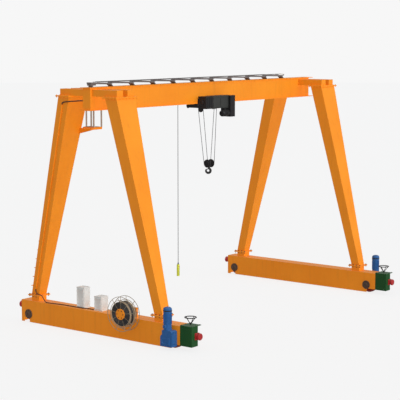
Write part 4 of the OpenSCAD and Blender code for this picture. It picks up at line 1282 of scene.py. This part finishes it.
@dataclass
class Cabinets:
    """Doors, hinges, handles, vents and feet of the two cabinets on the left beam."""

    front: float = -6.1
    tall_y: float = 0.73
    tall_size: tuple[float, float, float] = (0.3, 0.335, 0.7)
    low_y: float = -0.069
    low_size: tuple[float, float, float] = (0.33, 0.32, 0.475)
    vents: int = 5
    vent_z: float = 0.09
    vent_pitch: float = 0.018

    def build(self, bench: Bench) -> None:
        """Makes the fittings of both cabinets."""
        for name, y, size in (("tall", self.tall_y, self.tall_size), ("low", self.low_y, self.low_size)):
            self.cabinet(bench, name, y, size)

    def cabinet(self, bench: Bench, name: str, y: float, size: tuple[float, float, float]) -> None:
        """Makes the fittings of one cabinet.

        Args:
            bench: The bench.
            name: The cabinet's name.
            y: The cabinet's middle along the beam.
            size: Its width, length and height.
        """
        deep, wide, high = size
        left, right, top = y - wide / 2, y + wide / 2, BEAM_TOP + high
        x = self.front
        door = bench.panel(at(x - 0.010, left + 0.015, BEAM_TOP + 0.04), at(x + 0.002, right - 0.015, top - 0.03),
                           -X_AXIS, 0.004, 2, (0.022,), (0.005, 0.003))
        roof = bench.panel(at(x - 0.014, left - 0.008, top - 0.012),
                           at(x + deep + 0.008, right + 0.008, top + 0.008), Z_AXIS, 0.005, 2, (0.02, -0.004))
        slot = bench.block((-0.004, -wide * 0.28, -0.004), (0.0, wide * 0.28, 0.004), 0.0015)
        vents = bench.copies(slot, [
            Matrix.Translation(at(x - 0.0065, y, BEAM_TOP + self.vent_z + self.vent_pitch * n))
            for n in range(self.vents)])
        feet = [bench.block(at(x + a, y + b - 0.02, BEAM_TOP - 0.0002),
                            at(x + a + 0.03, y + b + 0.02, BEAM_TOP + 0.03), 0.004)
                for a in (0.0, deep - 0.03) for b in (-wide / 2 - 0.012, wide / 2 + 0.012)]
        side = bench.panel(at(x + 0.04, left - 0.004, BEAM_TOP + 0.06),
                           at(x + deep - 0.04, left + 0.001, top - 0.05), -Y_AXIS, 0.001, 1,
                           (0.02,), (0.003, -0.002))
        bench.give(bench.joined(door, roof, side, *feet), f"{name}_cabinet_doors", Body.FRAME, "cabinet_grey")
        hinge = bench.rod(Vector((0, 0, -0.03)), Vector((0, 0, 0.03)), 0.008, 16, 0.002)
        hinges = bench.copies(hinge, [Matrix.Translation(at(x - 0.007, right - 0.012, z))
                                      for z in (BEAM_TOP + 0.12, top - 0.11)])
        middle = BEAM_TOP + high * 0.5
        lock = bench.rod(at(x - 0.006, left + 0.045, middle), at(x - 0.018, left + 0.045, middle), 0.014, 20, 0.002)
        grip = bench.block(at(x - 0.03, left + 0.038, middle - 0.07), at(x - 0.018, left + 0.052, middle + 0.015),
                           0.004, 2)
        bench.give(bench.joined(hinges, lock, grip, vents), f"{name}_cabinet_fittings", Body.FRAME, "cabinet_grey")


@dataclass
class Platform:
    """Bar grating and post caps of the service platform."""

    pitch: float = 0.04
    cross_pitch: float = 0.06
    tube: float = 0.04

    def build(self, bench: Bench) -> None:
        """Makes the grating and the caps.

        Args:
            bench: The bench that the pieces are made on.
        """
        low, high = corners("platform_rails")
        floor = low.z
        inner_low, inner_high = low + Vector((0.041, 0.041, 0)), high - Vector((0.041, 0, 0))
        bars = int((inner_high.x - inner_low.x) / self.pitch)
        bar = bench.block((-0.0025, inner_low.y, floor + 0.0002), (0.0025, inner_high.y - 0.01, floor + 0.012), 0.001)
        grate = bench.copies(bar, [Matrix.Translation((inner_low.x + self.pitch * (n + 0.5), 0, 0))
                                   for n in range(bars)])
        cross = bench.rod(Vector((inner_low.x + 0.01, 0, floor + 0.008)),
                          Vector((inner_high.x - 0.01, 0, floor + 0.008)), 0.003, 8, 0.0008)
        rows = int((inner_high.y - inner_low.y) / self.cross_pitch)
        crosses = bench.copies(cross, [Matrix.Translation((0, inner_low.y + self.cross_pitch * (n + 0.4), 0))
                                       for n in range(rows)])
        bench.give(bench.joined(grate, crosses), "platform_grating", Body.FRAME, "grey_rail")
        caps = bench.panel((-0.0215, -0.0215, 0.0), (0.0215, 0.0215, 0.01), Z_AXIS, 0.004, 2, (0.008, -0.003))
        half = self.tube / 2
        posts = [(low.x + half, low.y + half), (high.x - half, low.y + half), (high.x - half, high.y - half)]
        bench.give(bench.copies(caps, [Matrix.Translation((x, y, high.z - 0.004)) for x, y in posts]),
                   "post_caps", Body.FRAME, "grey_rail")


@dataclass
class GirderTop:
    """The cable track's end cover, its lips and the cables that lie in it."""

    cover_len: float = 0.34
    cable_d: float = 0.022
    cable_rows: tuple[float, ...] = (0.06, 0.09, 0.13)
    first_knot: float = 0.35
    knot_pitch: float = 1.06
    knots: int = 10

    def build(self, bench: Bench) -> None:
        """Makes the cover, the lips and the cables.

        Args:
            bench: The bench that the pieces are made on.
        """
        low, high = corners("cable_track")
        right = high.x
        cover = bench.panel((right - self.cover_len, low.y + 0.006, high.z - 0.05),
                            (right + 0.03, high.y - 0.006, high.z + 0.012), Z_AXIS, 0.008, 2, (0.02, -0.006))
        bench.give(cover, "track_cover", Body.FRAME, "cabinet_grey")
        lip = bench.block((low.x + 0.3, -0.004, -0.004), (right - self.cover_len - 0.02, 0.004, 0.014), 0.002)
        rails = bench.copies(lip, [Matrix.Translation((0, y, high.z - 0.003)) for y in (low.y + 0.005, high.y - 0.005)])
        runs = [bench.hose([Vector((low.x + self.first_knot + self.knot_pitch * n, low.y + row,
                                    high.z + self.cable_d / 2)) for n in range(self.knots)], self.cable_d)
                for row in self.cable_rows]
        bench.give(rails, "track_lips", Body.FRAME, "track_grey")
        bench.give(bench.joined(*runs), "track_cables", Body.FRAME, "cable_rubber")


@dataclass
class Hoist:
    """Ropes, covers, screws, fins and wheels of the hoist trolley."""

    left: float = -0.911
    drum_right: float = -0.487
    gear_left: float = 0.429
    right: float = 0.709
    front: float = -0.61
    low: float = 7.34
    high: float = 7.787
    rope_d: float = 0.019
    rope_x: float = -0.385
    rope_y: float = -0.35
    strands: int = 6
    rope_cuts: int = 60
    lay_length: float = 0.22
    falls: tuple[tuple[float, float, float, float], ...] = (
        (-0.875, 0.11, -0.495, 0.1483), (-0.875, -0.11, -0.275, 0.1496),
        (-0.015, 0.055, -0.495, -0.1491), (-0.015, -0.055, -0.275, -0.1485))
    rope_top: float = 7.338
    rope_low: float = 5.35
    screw: float = 0.016
    bearing_y: float = -0.43
    bearing_up: float = 0.22
    bearing_r: float = 0.085
    gear_screw: float = 0.02
    motor_r: float = 0.115
    motor_fins: int = 24
    boxed_fins: tuple[int, ...] = (11, 12, 13)
    carriage_x: float = -0.101
    wheel_out: float = 0.66
    wheel_y: float = 0.261
    wheel_z: float = 7.6103
    hub_bolts: int = 5
    tube_z: float = 7.44
    tube_r: float = 0.068
    arm_end: float = -1.313
    arm_y: float = 0.35
    arm_z: float = 7.689

    def build(self, bench: Bench) -> None:
        """Makes everything on the trolley.

        Args:
            bench: The bench that the pieces are made on.
        """
        self.ropes(bench)
        self.drum_cover(bench)
        self.electric_door(bench)
        self.gearbox(bench)
        self.motor(bench)
        self.carriage(bench)

    def ropes(self, bench: Bench) -> None:
        """Makes the four stranded rope falls.

        Args:
            bench: The bench that the pieces are made on.
        """
        made = []
        for x_top, y_top, x_low, y_low in self.falls:
            start = at(x_top, self.rope_y + y_top, self.rope_top)
            end = at(x_low, self.rope_y + y_low, self.rope_low)
            length = (end - start).length
            bpy.ops.mesh.primitive_cylinder_add(vertices=6, radius=self.rope_d * 0.2, depth=length,
                                                location=(self.rope_d * 0.32, 0, length / 2))
            strand = bench.settled(bpy.context.object)
            bench.only(strand)
            rope = bench.copies(strand, [Matrix.Rotation(math.tau * n / self.strands, 4, "Z")
                                         for n in range(self.strands)])
            core = bench.rod(ORIGIN, Vector((0, 0, length)), self.rope_d * 0.3, 8)
            rope = bench.joined(rope, core)
            self.sliced(bench, rope, length, self.rope_cuts)
            bench.shaped(rope, "SIMPLE_DEFORM", deform_method="TWIST", deform_axis="Z",
                         angle=math.tau * length / self.lay_length)
            rope.data.transform(Matrix.Translation(start) @ turned_to(end - start))
            made.append(rope)
        falls = bench.give(bench.joined(*made), "rope_falls", None, "rope_steel", 60)
        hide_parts("hoist_ropes")
        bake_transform(falls)

    @staticmethod
    def sliced(bench: Bench, rope: bpy.types.Object, length: float, steps: int) -> None:
        """Cuts a rope into short lengths with bisect, so that it can twist.

        Args:
            bench: The bench that the pieces are made on.
            rope: The rope, which stands up Z from the origin.
            length: The rope's length.
            steps: The number of lengths.
        """
        bench.only(rope)
        bpy.ops.object.mode_set(mode="EDIT")
        for n in range(1, steps):
            bpy.ops.mesh.select_all(action="SELECT")
            bpy.ops.mesh.bisect(plane_co=(0, 0, length * n / steps), plane_no=(0, 0, 1))
        bpy.ops.object.mode_set(mode="OBJECT")

    def drum_cover(self, bench: Bench) -> None:
        """Makes the ribbed covers of the drum housing.

        Args:
            bench: The bench that the pieces are made on.
        """
        panel = bench.panel(at(self.left + 0.02, self.front - 0.006, self.low + 0.03),
                            at(self.drum_right - 0.02, self.front + 0.002, self.high - 0.03), -Y_AXIS, 0.003, 1,
                            (0.02,), (0.004, 0.003))
        rib = bench.block((-0.008, -0.012, 0.0), (0.008, 0.0, self.high - self.low - 0.09), 0.003)
        ribs = bench.copies(rib, [Matrix.Translation(at(x, self.front, self.low + 0.045))
                                  for x in (self.left + 0.11, self.left + 0.21, self.left + 0.31)])
        end = bench.panel(at(self.left - 0.006, self.front + 0.03, self.low + 0.03),
                          at(self.left + 0.002, self.front + 0.32, self.high - 0.03), -X_AXIS, 0.003, 1,
                          (0.025,), (0.004, 0.003))
        seat = at(self.left, self.bearing_y, self.low + self.bearing_up)
        face = seat - X_AXIS * 0.03
        bearing = bench.rod(seat - X_AXIS * 0.004, face, self.bearing_r, 40, 0.006, 2)
        bench.edit(bearing, facing(-X_AXIS), bench.inset(0.03), bench.inset(0.004, 0.005))
        bench.give(bench.joined(panel, ribs, end, bearing), "drum_covers", Body.TROLLEY, "hoist_black")
        spots = ring_places(face, -X_AXIS, 0.07, 6)
        turn = turned_to(-Y_AXIS)
        spots += [Matrix.Translation(at(x, self.front - 0.006, z)) @ turn
                  for x in (self.left + 0.03, self.drum_right - 0.03)
                  for z in (self.low + 0.045, (self.low + self.high) / 2, self.high - 0.045)]
        bench.give(bench.bolts(spots, self.screw), "drum_screws", Body.TROLLEY, "bolt_steel")

    def electric_door(self, bench: Bench) -> None:
        """Makes the doors, the hinges and the cable glands of the electrical box.

        Args:
            bench: The bench that the pieces are made on.
        """
        middle = (self.drum_right + self.gear_left) / 2
        doors = []
        for a, b in ((self.drum_right + 0.02, middle - 0.006), (middle + 0.006, self.gear_left - 0.02)):
            door = bench.panel(at(a, self.front - 0.008, self.low + 0.02),
                               at(b, self.front + 0.002, self.high - 0.02), -Y_AXIS, 0.004, 2,
                               (0.025,), (0.004, 0.002))
            doors.append(door)
        lid = bench.panel(at(self.drum_right + 0.004, self.front - 0.01, self.high - 0.008),
                          at(self.gear_left - 0.004, -0.265, self.high + 0.006), Z_AXIS, 0.003, 1, (0.02, -0.003))
        bench.give(bench.joined(*doors, lid), "electric_doors", Body.TROLLEY, "hoist_grey")
        hinge = bench.rod(Vector((0, 0, -0.025)), Vector((0, 0, 0.025)), 0.007, 12, 0.002)
        spots = [Matrix.Translation(at(x, self.front - 0.006, z))
                 for x in (self.drum_right + 0.014, self.gear_left - 0.014)
                 for z in (self.low + 0.09, self.high - 0.09)]
        latch = bench.rod(ORIGIN, Vector((0, -0.014, 0)), 0.011, 16, 0.002)
        latches = bench.copies(latch, [
            Matrix.Translation(at(middle + s, self.front - 0.007, self.low + self.bearing_up)) for s in (-0.03, 0.03)])
        gland = bench.rod(Vector((0, 0, 0.002)), Vector((0, 0, -0.03)), 0.013, 8, 0.003)
        glands = bench.copies(gland, [Matrix.Translation(at(self.drum_right + 0.1 + 0.06 * n, -0.5, self.low))
                                      for n in range(5)])
        bench.give(bench.joined(bench.copies(hinge, spots), latches, glands), "electric_fittings", Body.TROLLEY,
                   "hoist_black")

    def gearbox(self, bench: Bench) -> None:
        """Makes the ribs, the cover and the screws of the hoist's gearbox.

        Args:
            bench: The bench that the pieces are made on.
        """
        low, high = corners("hoist_gearbox")
        cover = bench.panel((high.x - 0.002, low.y + 0.03, low.z + 0.03),
                            (high.x + 0.012, high.y - 0.03, high.z - 0.03), X_AXIS, 0.005, 2,
                            (0.04,), (0.006, 0.006))
        hub = Vector((high.x, low.y + 0.22, high.z - 0.25))
        boss = bench.rod(hub + X_AXIS * 0.004, hub + X_AXIS * 0.022, 0.08, 40, 0.005, 2)
        rib = bench.block((low.x, low.y - 0.008, 0.0), (high.x, low.y + 0.001, 0.016), 0.003)
        ribs = bench.copies(rib, [Matrix.Translation((0, 0, z)) for z in (low.z + 0.25, low.z + 0.42, high.z - 0.1)])
        front = bench.panel((low.x + 0.02, low.y - 0.005, low.z + 0.02),
                            (high.x - 0.02, low.y + 0.001, low.z + 0.22), -Y_AXIS, 0.003, 1,
                            (0.02,), (0.004, 0.003))
        bench.give(bench.joined(cover, boss, ribs, front), "hoist_gear_covers", Body.TROLLEY, "hoist_black")
        turn = turned_to(X_AXIS)
        spots = [Matrix.Translation((high.x + 0.012, y, z)) @ turn
                 for y in (low.y + 0.05, (low.y + high.y) / 2, high.y - 0.05)
                 for z in (low.z + 0.05, low.z + 0.27, high.z - 0.27, high.z - 0.05)]
        bench.give(bench.bolts(spots, self.gear_screw), "hoist_gear_screws", Body.TROLLEY, "bolt_steel")

    def motor(self, bench: Bench) -> None:
        """Makes the fins, the flange, the cowl and the terminal box of the hoist motor.

        Args:
            bench: The bench that the pieces are made on.
        """
        low, high = corners("hoist_motor")
        radius, count = self.motor_r, self.motor_fins
        base = Vector((high.x, low.y + radius, low.z + radius))
        fin = bench.block((radius - 0.010, -0.002, 0.07), (radius + 0.003, 0.002, 0.27), 0.001)
        turn = turned_to(-X_AXIS)
        fins = bench.copies(fin, [Matrix.Translation(base) @ turn @ Matrix.Rotation(math.tau * n / count, 4, "Z")
                                  for n in range(count) if n not in self.boxed_fins])
        flange = bench.rod(base - X_AXIS * 0.002, base - X_AXIS * 0.022, radius + 0.006, 40, 0.004)
        band = bench.hoop(base - X_AXIS * 0.3, X_AXIS, radius - 0.002, 0.01)
        mouth = bench.hoop(base - X_AXIS * (high.x - low.x - 0.004), X_AXIS, radius * 0.45, 0.008, 32)
        spoke = bench.block((-0.003, -radius * 0.45, -0.003), (0.003, radius * 0.45, 0.003), 0.001)
        end = base - X_AXIS * (high.x - low.x - 0.003)
        grille = bench.copies(spoke, [Matrix.Translation(end) @ Matrix.Rotation(math.pi * n / 4, 4, "X")
                                      for n in range(4)])
        box = bench.panel(base + Vector((-0.2, -radius - 0.022, -0.03)),
                          base + Vector((-0.1, -radius + 0.02, 0.05)), -Y_AXIS, 0.006, 2, (0.01, -0.003))
        bench.give(bench.joined(fins, flange, band, mouth, grille, box), "hoist_motor_trim", Body.TROLLEY,
                   "hoist_black")

    def carriage(self, bench: Bench) -> None:
        """Makes the wheels' hubs and bolts, the end tube, and the arm's cable and web.

        Args:
            bench: The bench that the pieces are made on.
        """
        hubs, bolts = [], []
        for x in (self.carriage_x - self.wheel_out, self.carriage_x + self.wheel_out):
            centre = at(x, self.wheel_y, self.wheel_z)
            hubs.append(Matrix.Translation(centre) @ turned_to(Y_AXIS))
            bolts += ring_places(centre + Y_AXIS * 0.012, Y_AXIS, 0.042, self.hub_bolts)
        hub = bench.rod(Vector((0, 0, -0.002)), Vector((0, 0, 0.012)), 0.058, 32, 0.003)
        nut = bench.rod(Vector((0, 0, 0.01)), Vector((0, 0, 0.03)), 0.022, 6, 0.003)
        bench.give(bench.copies(bench.joined(hub, nut), hubs), "carriage_hubs", Body.TROLLEY, "hoist_black")
        bench.give(bench.bolts(bolts, 0.014), "carriage_bolts", Body.TROLLEY, "bolt_steel")
        tube = bench.rod(at(self.left + 0.066, -0.264, self.tube_z), at(self.left + 0.066, 0.264, self.tube_z),
                         self.tube_r, 32, 0.01, 2)
        bench.edit(tube, facing(Y_AXIS, both=True), bench.inset(0.014), bench.inset(0.004, 0.008))
        bench.give(tube, "carriage_end_tube", Body.TROLLEY, "hoist_black")
        route = [at(self.left + 0.16, 0.268, 7.56), at(self.left + 0.1, 0.272, 7.60), at(self.left + 0.06, 0.3, 7.665),
                 at(self.left + 0.02, 0.335, 7.69), at(self.left - 0.08, 0.345, 7.69),
                 at(self.left - 0.25, self.arm_y, self.arm_z), at(self.arm_end + 0.03, self.arm_y, self.arm_z),
                 at(self.arm_end - 0.012, self.arm_y, self.arm_z - 0.014)]
        arm = bench.hose(route, 0.018, 3)
        tie = bench.hoop(ORIGIN, X_AXIS, 0.03, 0.005, 20, 6)
        ties = bench.copies(tie, [Matrix.Translation(at(x, self.arm_y, self.arm_z - 0.017))
                                  for x in (-1.24, -1.1, -0.98)])
        bench.give(bench.joined(arm, ties), "arm_cable", Body.TROLLEY, "cable_rubber")
        web = bench.block(at(self.arm_end + 0.028, self.arm_y - 0.018, 7.535),
                          at(self.left - 0.02, self.arm_y + 0.018, 7.642), 0.004, 2)
        bench.edit(web, facing(Y_AXIS, both=True), bench.inset(0.01), bench.inset(0.003, 0.004))
        eye = bench.hoop(at(self.arm_end, self.arm_y, 7.57), Z_AXIS, 0.026, 0.022, 24, 8)
        bench.give(bench.joined(web, eye), "arm_web", Body.TROLLEY, "hoist_black")


@dataclass
class HookBlock:
    """Cheek discs, sheaves, ropes round them, bolts and the hook below them."""

    mid: tuple[float, float] = (-0.385, -0.35)
    sheaves: tuple[float, float] = (-0.11, 0.11)
    cheek: float = 0.028
    axle_z: float = 5.35
    bottom: float = 5.21
    cap_r: float = 0.122
    sheave_r: float = 0.14
    rope_d: float = 0.018
    hook_r: float = 0.083
    hook_drop: float = 0.13
    hook_t: float = 0.088
    hook_turn: float = -52.0
    hook_shift: float = 0.03
    hook_from: float = 75.0
    hook_sweep: float = 283.0
    hook_steps: int = 30
    nut: float = 0.02
    nut_ring: float = 0.1
    axle_end: float = 0.144
    rim_out: float = 0.0125

    def build(self, bench: Bench) -> None:
        """Makes the block's and the hook's pieces.

        Args:
            bench: The bench that the pieces are made on.
        """
        self.cheeks(bench)
        self.sheave_trim(bench)
        self.hook(bench)

    def cheeks(self, bench: Bench) -> None:
        """Makes the discs on the cheeks, their nuts and the collar under the crosshead.

        Args:
            bench: The bench that the pieces are made on.
        """
        x, y = self.mid
        caps, spots = [], []
        for sheave in self.sheaves:
            for way in (-1, 1):
                seat = x + sheave + way * self.cheek
                cap = bench.rod(at(seat - way * 0.001, y, self.axle_z), at(seat + way * 0.008, y, self.axle_z),
                                self.cap_r, 56, 0.004, 2)
                bench.edit(cap, facing(X_AXIS * way), bench.inset(0.05),
                           bench.inset(0.004, 0.003))
                caps.append(cap)
                outer = way * sheave > 0
                turns = [math.radians(n * 60) for n in range(6) if outer or n < 4]
                spots += [Matrix.Translation(at(seat + way * 0.008, y + self.nut_ring * math.cos(a),
                                                self.axle_z + self.nut_ring * math.sin(a)))
                          @ turned_to(X_AXIS * way) for a in turns]
        collar = bench.rod(at(x, y, self.bottom + 0.002), at(x, y, self.bottom - 0.008), 0.06, 32, 0.003, 2)
        ends = [bench.rod(at(x + way * self.axle_end, y, self.axle_z),
                          at(x + way * (self.axle_end + 0.012), y, self.axle_z), 0.04, 6, 0.004) for way in (-1, 1)]
        bench.give(bench.joined(*caps, collar, *ends), "block_cheeks", Body.BLOCK, "hoist_black")
        bench.give(bench.bolts(spots, self.nut), "block_nuts", Body.BLOCK, "bolt_steel")

    def sheave_trim(self, bench: Bench) -> None:
        """Makes the sheaves' flanges and the rope that passes under each sheave.

        Args:
            bench: The bench that the pieces are made on.
        """
        x, y = self.mid
        rims = [bench.hoop(at(x + sheave + side, y, self.axle_z), X_AXIS, self.sheave_r + 0.0005, 0.006, 64, 8)
                for sheave in self.sheaves for side in (-self.rim_out, self.rim_out)]
        bench.give(bench.joined(*rims), "sheave_rims", Body.BLOCK, "black_iron")
        turns = [math.radians(180 + 12 * n) for n in range(16)]
        radius = self.sheave_r + self.rope_d / 2
        bights = [bench.hose([at(x + sheave, y + radius * math.cos(a), self.axle_z + radius * math.sin(a))
                              for a in turns], self.rope_d, 3) for sheave in self.sheaves]
        bench.give(bench.joined(*bights), "sheave_ropes", Body.BLOCK, "rope_steel")

    def hook(self, bench: Bench) -> None:
        """Makes the forged hook, thick at its seat and thin at its tip, its latch and its nut.

        Args:
            bench: The bench that the pieces are made on.
        """
        x, y = self.mid
        turn = Matrix.Translation(at(x, y, self.bottom)) @ Matrix.Rotation(math.radians(self.hook_turn), 4, "Z")
        knots = [(Vector((0, 0, 0.02)), 0.55), (Vector((0, 0, -0.01)), 0.6), (Vector((0, 0, -0.03)), 0.85)]
        for n in range(self.hook_steps + 1):
            share = n / self.hook_steps
            a = math.radians(self.hook_from - self.hook_sweep * share)
            wide = 0.88 + 0.14 * math.sin(math.pi * min(share * 1.25, 1.0)) - 0.16 * max(share - 0.75, 0.0) / 0.25
            knots.append((Vector((self.hook_r * math.cos(a) - self.hook_shift, 0,
                                  self.hook_r * math.sin(a) - self.hook_drop)), wide))
        data = bpy.data.curves.new("forged_hook", "CURVE")
        data.dimensions, data.bevel_depth, data.bevel_resolution, data.use_fill_caps = "3D", self.hook_t / 2, 6, True
        spline = data.splines.new("POLY")
        spline.points.add(len(knots) - 1)
        for knot, (place, wide) in zip(spline.points, knots):
            knot.co = (*(turn @ place), 1.0)
            knot.radius = wide
        bench.only(linked("forged_hook", data))
        bpy.ops.object.convert(target="MESH")
        forged = bpy.context.object
        nut = bench.rod(at(x, y, self.bottom - 0.012), at(x, y, self.bottom - 0.034), 0.042, 6, 0.004)
        latch = bench.rod(Vector((-0.018, 0, -0.06)), Vector((-0.1, 0, -0.088)), 0.019, 6, 0.004)
        pivot = bench.rod(Vector((-0.024, -0.04, -0.062)), Vector((-0.024, 0.04, -0.062)), 0.012, 20, 0.002)
        for piece in (latch, pivot):
            piece.data.transform(turn)
        whole = bench.give(bench.joined(forged, nut, latch, pivot), "forged_hook", Body.HOOK, "black_iron", 50)
        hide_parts("hook")


def main() -> None:
    """Builds the scene in order."""
    logging.basicConfig(level=logging.INFO, format="%(message)s")
    Studio.build()
    finishes = Finishes()
    finishes.dress_nodes()
    bench = Bench(finishes)
    for assembly in (Cords(), LegJoints(), EndBeams(), TravelDrives(), RailClamps(), CableReel(), Cabinets(),
                     Platform(), GirderTop(), Hoist(), HookBlock()):
        assembly.build(bench)


if __name__ == "__main__":
    main()
